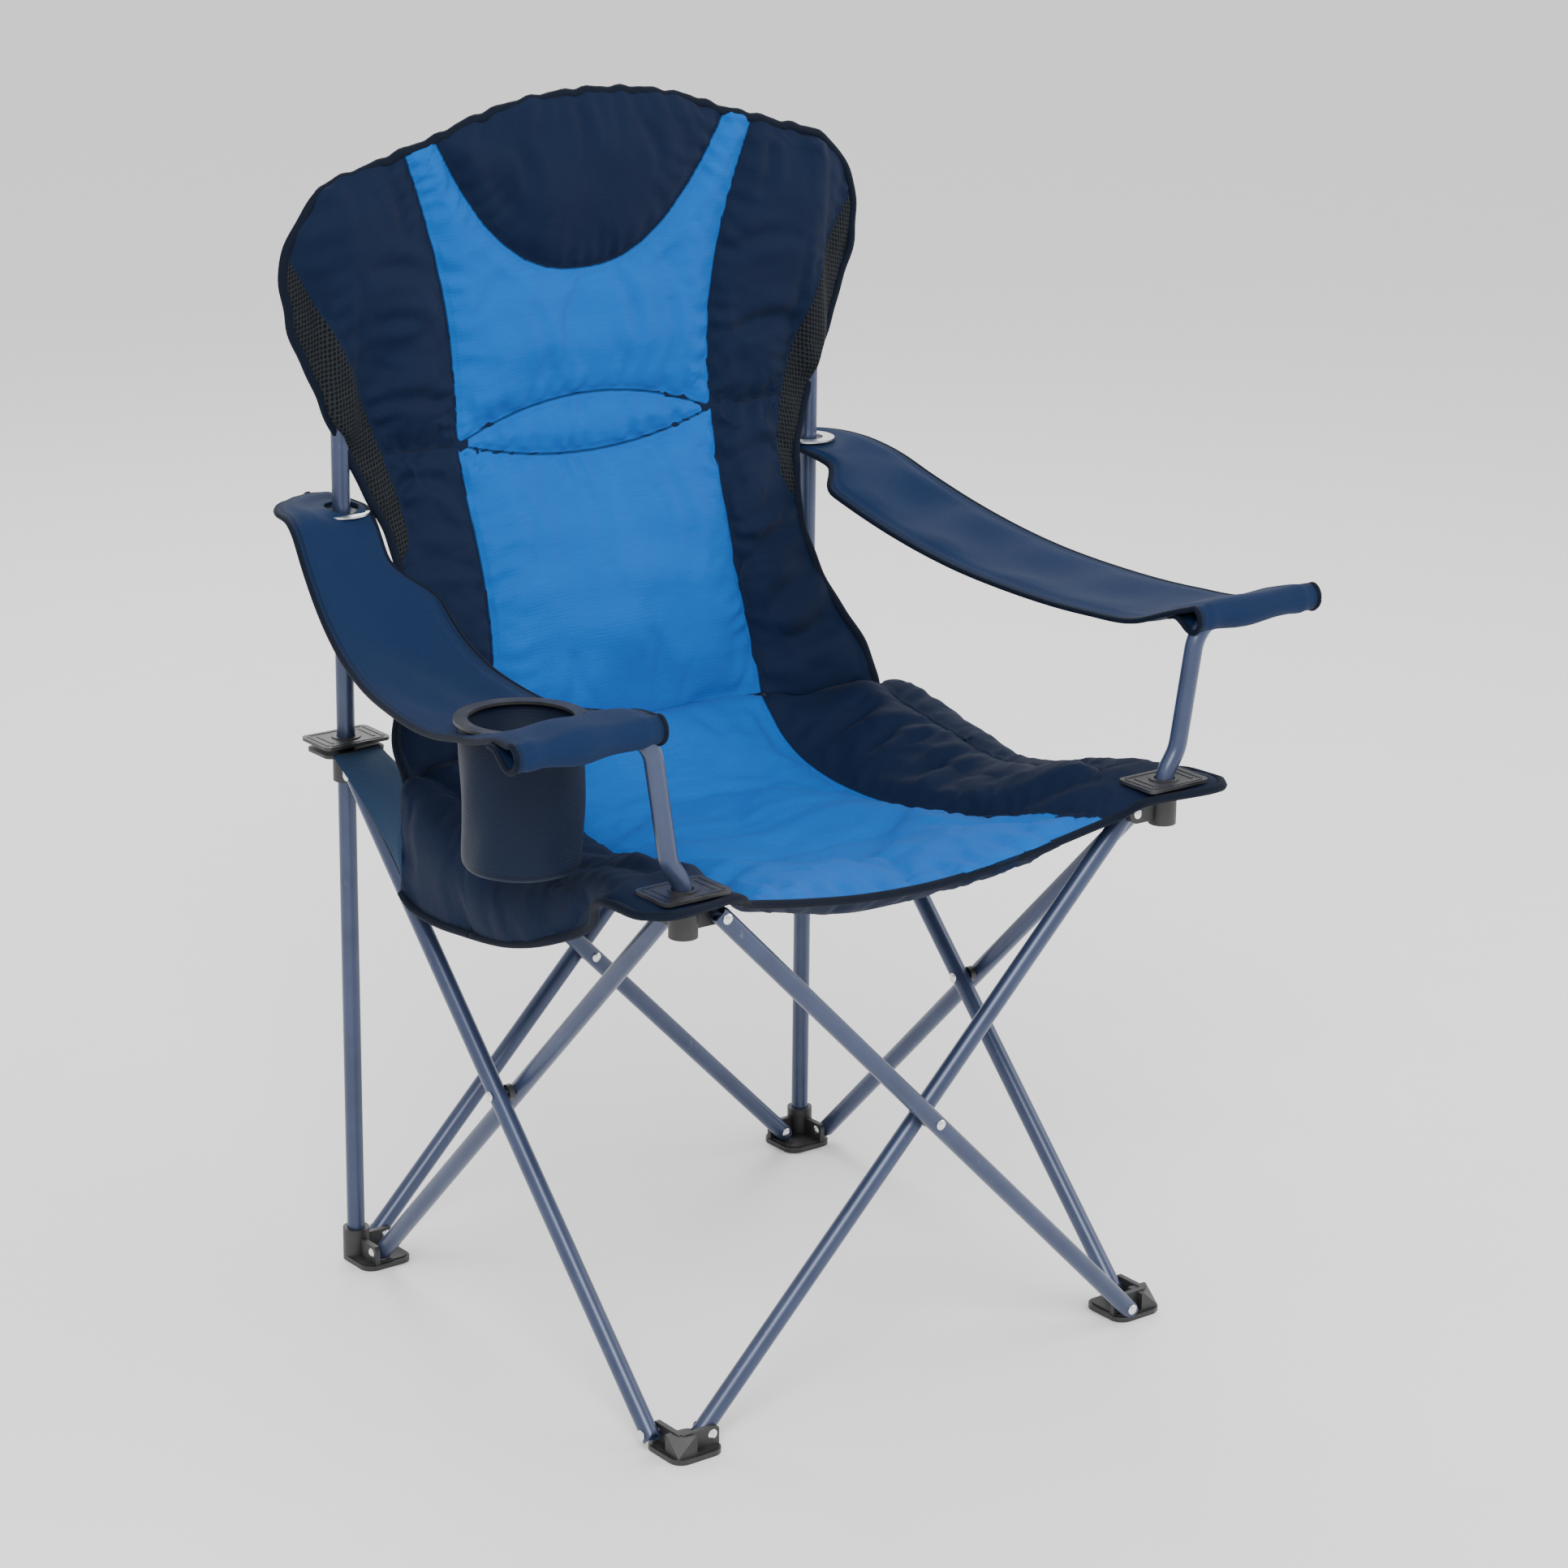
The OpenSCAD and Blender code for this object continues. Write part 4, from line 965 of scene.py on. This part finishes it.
    # hole for the rear post inside the eyelet, and the cup's mouth
    holes = [((side * P, P, ARM_REAR_Z), 0.0150)]
    if side < 0:
        holes.append((CUP, 0.0500))
    for place, radius in holes:
        bpy.ops.mesh.primitive_cylinder_add(vertices=64, radius=radius, depth=0.12, location=place)
        cutter = bpy.context.object
        mod = obj.modifiers.new("hole", "BOOLEAN")
        mod.operation = "DIFFERENCE"
        mod.solver = "EXACT"
        mod.object = cutter
        bpy.context.view_layer.objects.active = obj
        bpy.ops.object.modifier_apply(modifier=mod.name)
        bpy.data.objects.remove(cutter)
    join(obj, tape(name + "_edge", rim_points, 0.0026, closed=True))
    word = "right" if side < 0 else "left"
    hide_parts("arm_front_" + word, "arm_rear_" + word)
    cut = arm_mid(np.array(0.38), side)
    tangent = arm_mid(np.array(0.40), side) - arm_mid(np.array(0.36), side)
    tangent /= np.linalg.norm(tangent)
    a, b = cut - tangent * 0.030, cut + tangent * 0.030
    a[0] *= side
    b[0] *= side
    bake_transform(obj)


low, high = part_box("cup_rim")
CUP = ((low.x + high.x) / 2, (low.y + high.y) / 2, (low.z + high.z) / 2)
armrest(-1)
armrest(1)


# ---------------------------------------- the cup holder's sleeve

def cup_sleeve():
    low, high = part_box("cup_sleeve")
    cx, cy = CUP[0], CUP[1]
    top, bottom = high.z - 0.001, low.z
    outer = [(top, 0.0498), (top - 0.02, 0.0500), (top - 0.06, 0.0492), (bottom + 0.03, 0.0484),
             (bottom + 0.008, 0.0480), (bottom + 0.002, 0.0462), (bottom + 0.0004, 0.0425)]
    sides, steps = 72, 34
    ring = curve1([(i / (len(outer) - 1), list(p)) for i, p in enumerate(outer)])
    inner = [(bottom + 0.0026, 0.004), (bottom + 0.0026, 0.040), (bottom + 0.008, 0.0455),
             (top - 0.06, 0.0468), (top, 0.0476)]
    prof = [tuple(ring(np.array([k / steps]))[0]) for k in range(steps + 1)]
    prof += [(bottom, 0.022), (bottom, 0.004)] + inner
    verts, faces, flat = [], [], []
    for j, (z, r) in enumerate(prof):
        for k in range(sides):
            a = 2 * math.pi * k / sides
            w = 0.0
            if j <= steps:
                sag = math.sin(math.pi * min(1.0, j / steps))
                w = 0.0009 * sag * (math.sin(3 * a + z * 40) + 0.7 * math.sin(7 * a - z * 70 + 1.0))
            verts.append((cx + (r + w) * math.cos(a), cy + (r + w) * math.sin(a), z))
            flat.append((a * 0.05, z, 0))
    n = len(prof)
    for j in range(n - 1):
        for k in range(sides):
            m = (k + 1) % sides
            faces.append((j * sides + k, (j + 1) * sides + k, (j + 1) * sides + m, j * sides + m))
    for k in range(sides):
        m = (k + 1) % sides
        faces.append(((n - 1) * sides + k, k, m, (n - 1) * sides + m))
    obj = new_mesh("cup_sleeve_cloth", verts, [f[::-1] for f in faces])
    z = np.array([v[2] for v in verts])
    ang = np.array([f[0] for f in flat])
    seam = np.minimum(np.abs(z - (bottom + 0.006)), np.abs(ang - 0.115))
    plain_cloth(obj.data, seam, ang, flat)
    obj.data.materials.append(M_SLEEVE)
    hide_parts("cup_sleeve")
    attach(obj, "right_arm_front")
    return obj


cup = cup_sleeve()


# ---------------------------------------- rear gussets

def gusset(side):
    """The coarse cloth between the seat's side and the bracket on the rear post."""
    rows, columns = 14, 16
    pts = np.zeros((rows, columns, 3))
    for i in range(rows):
        w = i / (rows - 1)
        upper = np.array([0.262 - 0.029 * w, 0.122 + 0.112 * w, 0.482 + 0.0075 * w])
        lower = np.array([0.2835 - 0.003 * w, 0.110 + 0.121 * w, 0.398 + 0.090 * w**0.7])
        for j in range(columns):
            v = j / (columns - 1)
            p = upper * (1 - v) + lower * v
            p[0] += 0.010 * math.sin(math.pi * v) * (1 - w)
            pts[i, j] = p
    flat = np.stack([pts[:, :, 1], pts[:, :, 2], pts[:, :, 0] * 0], 2).reshape(-1, 3)
    out = pts.reshape(-1, 3)
    verts = np.vstack([out, out - (0.0016, 0, 0)])
    quads = layer_faces(columns, rows)[0]
    verts[:, 0] *= side
    if side > 0:
        quads = [q[::-1] for q in quads]
    obj = new_mesh("gusset_right" if side < 0 else "gusset_left", verts, quads)
    plain_cloth(obj.data, 1.0, 0.0, np.vstack([flat, flat]))
    obj.data.materials.append(M_GUSSET)
    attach(obj, "seat_rear_half")
    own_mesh(obj)


gusset(-1)
gusset(1)


# ---------------------------------------- smooth arm posts

def arm_post(side):
    r1, r2 = 0.036, 0.032
    kick, lean = math.radians(33), math.radians(9.4)
    start_z = 0.458
    foot = 0.4925 - start_z - 0.005
    line = [(0, 0), (0, foot * 0.5)]

    def turn(x, z, a0, a1, r, n):
        s = 1 if a1 > a0 else -1
        for i in range(n + 1):
            a = a0 + (a1 - a0) * i / n
            line.append((x + s * r * (math.cos(a0) - math.cos(a)), z + s * r * (math.sin(a) - math.sin(a0))))

    turn(0, foot, 0, kick, r1, 10)
    x, z = line[-1]
    turn(x + 0.008 * math.sin(kick), z + 0.008 * math.cos(kick), kick, lean, r1, 8)
    x, z = line[-1]
    turn(x + 0.079 * math.sin(lean), z + 0.079 * math.cos(lean), lean, math.pi / 2, r2, 22)
    x, z = line[-1]
    line.append((x + 0.044, z))
    line.append((x + 0.088, z))
    pts = [(side * (P + a), -P, start_z + b) for a, b in line]
    verts, faces = tube_mesh(pts, 0.00795, 32, up=(0, 1, 0))
    obj = new_mesh("arm_tube_right" if side < 0 else "arm_tube_left", verts, faces)
    obj.data.materials.append(M_TUBE)
    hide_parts("arm_post_fr" if side < 0 else "arm_post_fl")
    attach(obj, "front_right_hub" if side < 0 else "front_left_hub")


arm_post(-1)
arm_post(1)


# ---------------------------------------- smooth shading on the round CAD parts

for node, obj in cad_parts.items():
    if obj.hide_render:
        continue
    if "rivet" in node or node.startswith(("tube_", "post_", "eyelet", "cup_rim", "spacer", "arm_plug")):
        obj.data.set_sharp_from_angle(angle=math.radians(35))
        obj.data.polygons.foreach_set("use_smooth", [True] * len(obj.data.polygons))


# ---------------------------------------- floor, light and camera

mesh = bpy.data.meshes.new("floor")
mesh.from_pydata([(-9, -9, -0.0004), (9, -9, -0.0004), (9, 9, -0.0004), (-9, 9, -0.0004)], [], [(0, 1, 2, 3)])
floor = bpy.data.objects.new("floor", mesh)
scene.collection.objects.link(floor)
n = Nodes("pale_floor")
grain = n.noise(n.add("TexCoord").outputs["Object"], 14.0, 4.0)
n.put(n.bsdf.inputs["Base Color"], n.mix(grain, (0.93, 0.93, 0.93, 1), (0.96, 0.96, 0.96, 1)))
n.bsdf.inputs["Roughness"].default_value = 0.6
mesh.materials.append(n.mat)

world = bpy.data.worlds.new("studio")
world.use_nodes = True
world.node_tree.nodes["Background"].inputs["Color"].default_value = (1.0, 1.0, 1.0, 1)
world.node_tree.nodes["Background"].inputs["Strength"].default_value = 1.15
scene.world = world


def area_light(name, place, target, size, power):
    light = bpy.data.lights.new(name, "AREA")
    light.size = size
    light.energy = power
    obj = bpy.data.objects.new(name, light)
    obj.location = place
    obj.rotation_euler = (Vector(target) - Vector(place)).to_track_quat("-Z", "Y").to_euler()
    scene.collection.objects.link(obj)


area_light("key", (-1.9, -2.3, 2.9), (0, 0, 0.5), 1.6, 110)
area_light("fill", (2.6, -1.4, 1.9), (0, 0, 0.5), 2.2, 40)
area_light("rim", (0.9, 2.4, 2.6), (0, 0, 0.7), 1.6, 45)

az, el, roll, dist = math.radians(-37.197), math.radians(17.567), math.radians(0.638), 3.7496
target = Vector((0.0062, -0.0413, 0.4806))
away = Vector((math.sin(az) * math.cos(el), -math.cos(az) * math.cos(el), math.sin(el)))
right = (-away).cross(Vector((0, 0, 1))).normalized()
up = right.cross(-away)
r = right * math.cos(roll) + up * math.sin(roll)
u = up * math.cos(roll) - right * math.sin(roll)
cam = bpy.data.objects.new("camera", bpy.data.cameras.new("camera"))
cam.data.lens = 100.04
cam.data.sensor_width = 36
place = target + away * dist
cam.matrix_world = Matrix(((r.x, u.x, away.x, place.x), (r.y, u.y, away.y, place.y),
                           (r.z, u.z, away.z, place.z), (0, 0, 0, 1)))
scene.collection.objects.link(cam)
scene.camera = cam
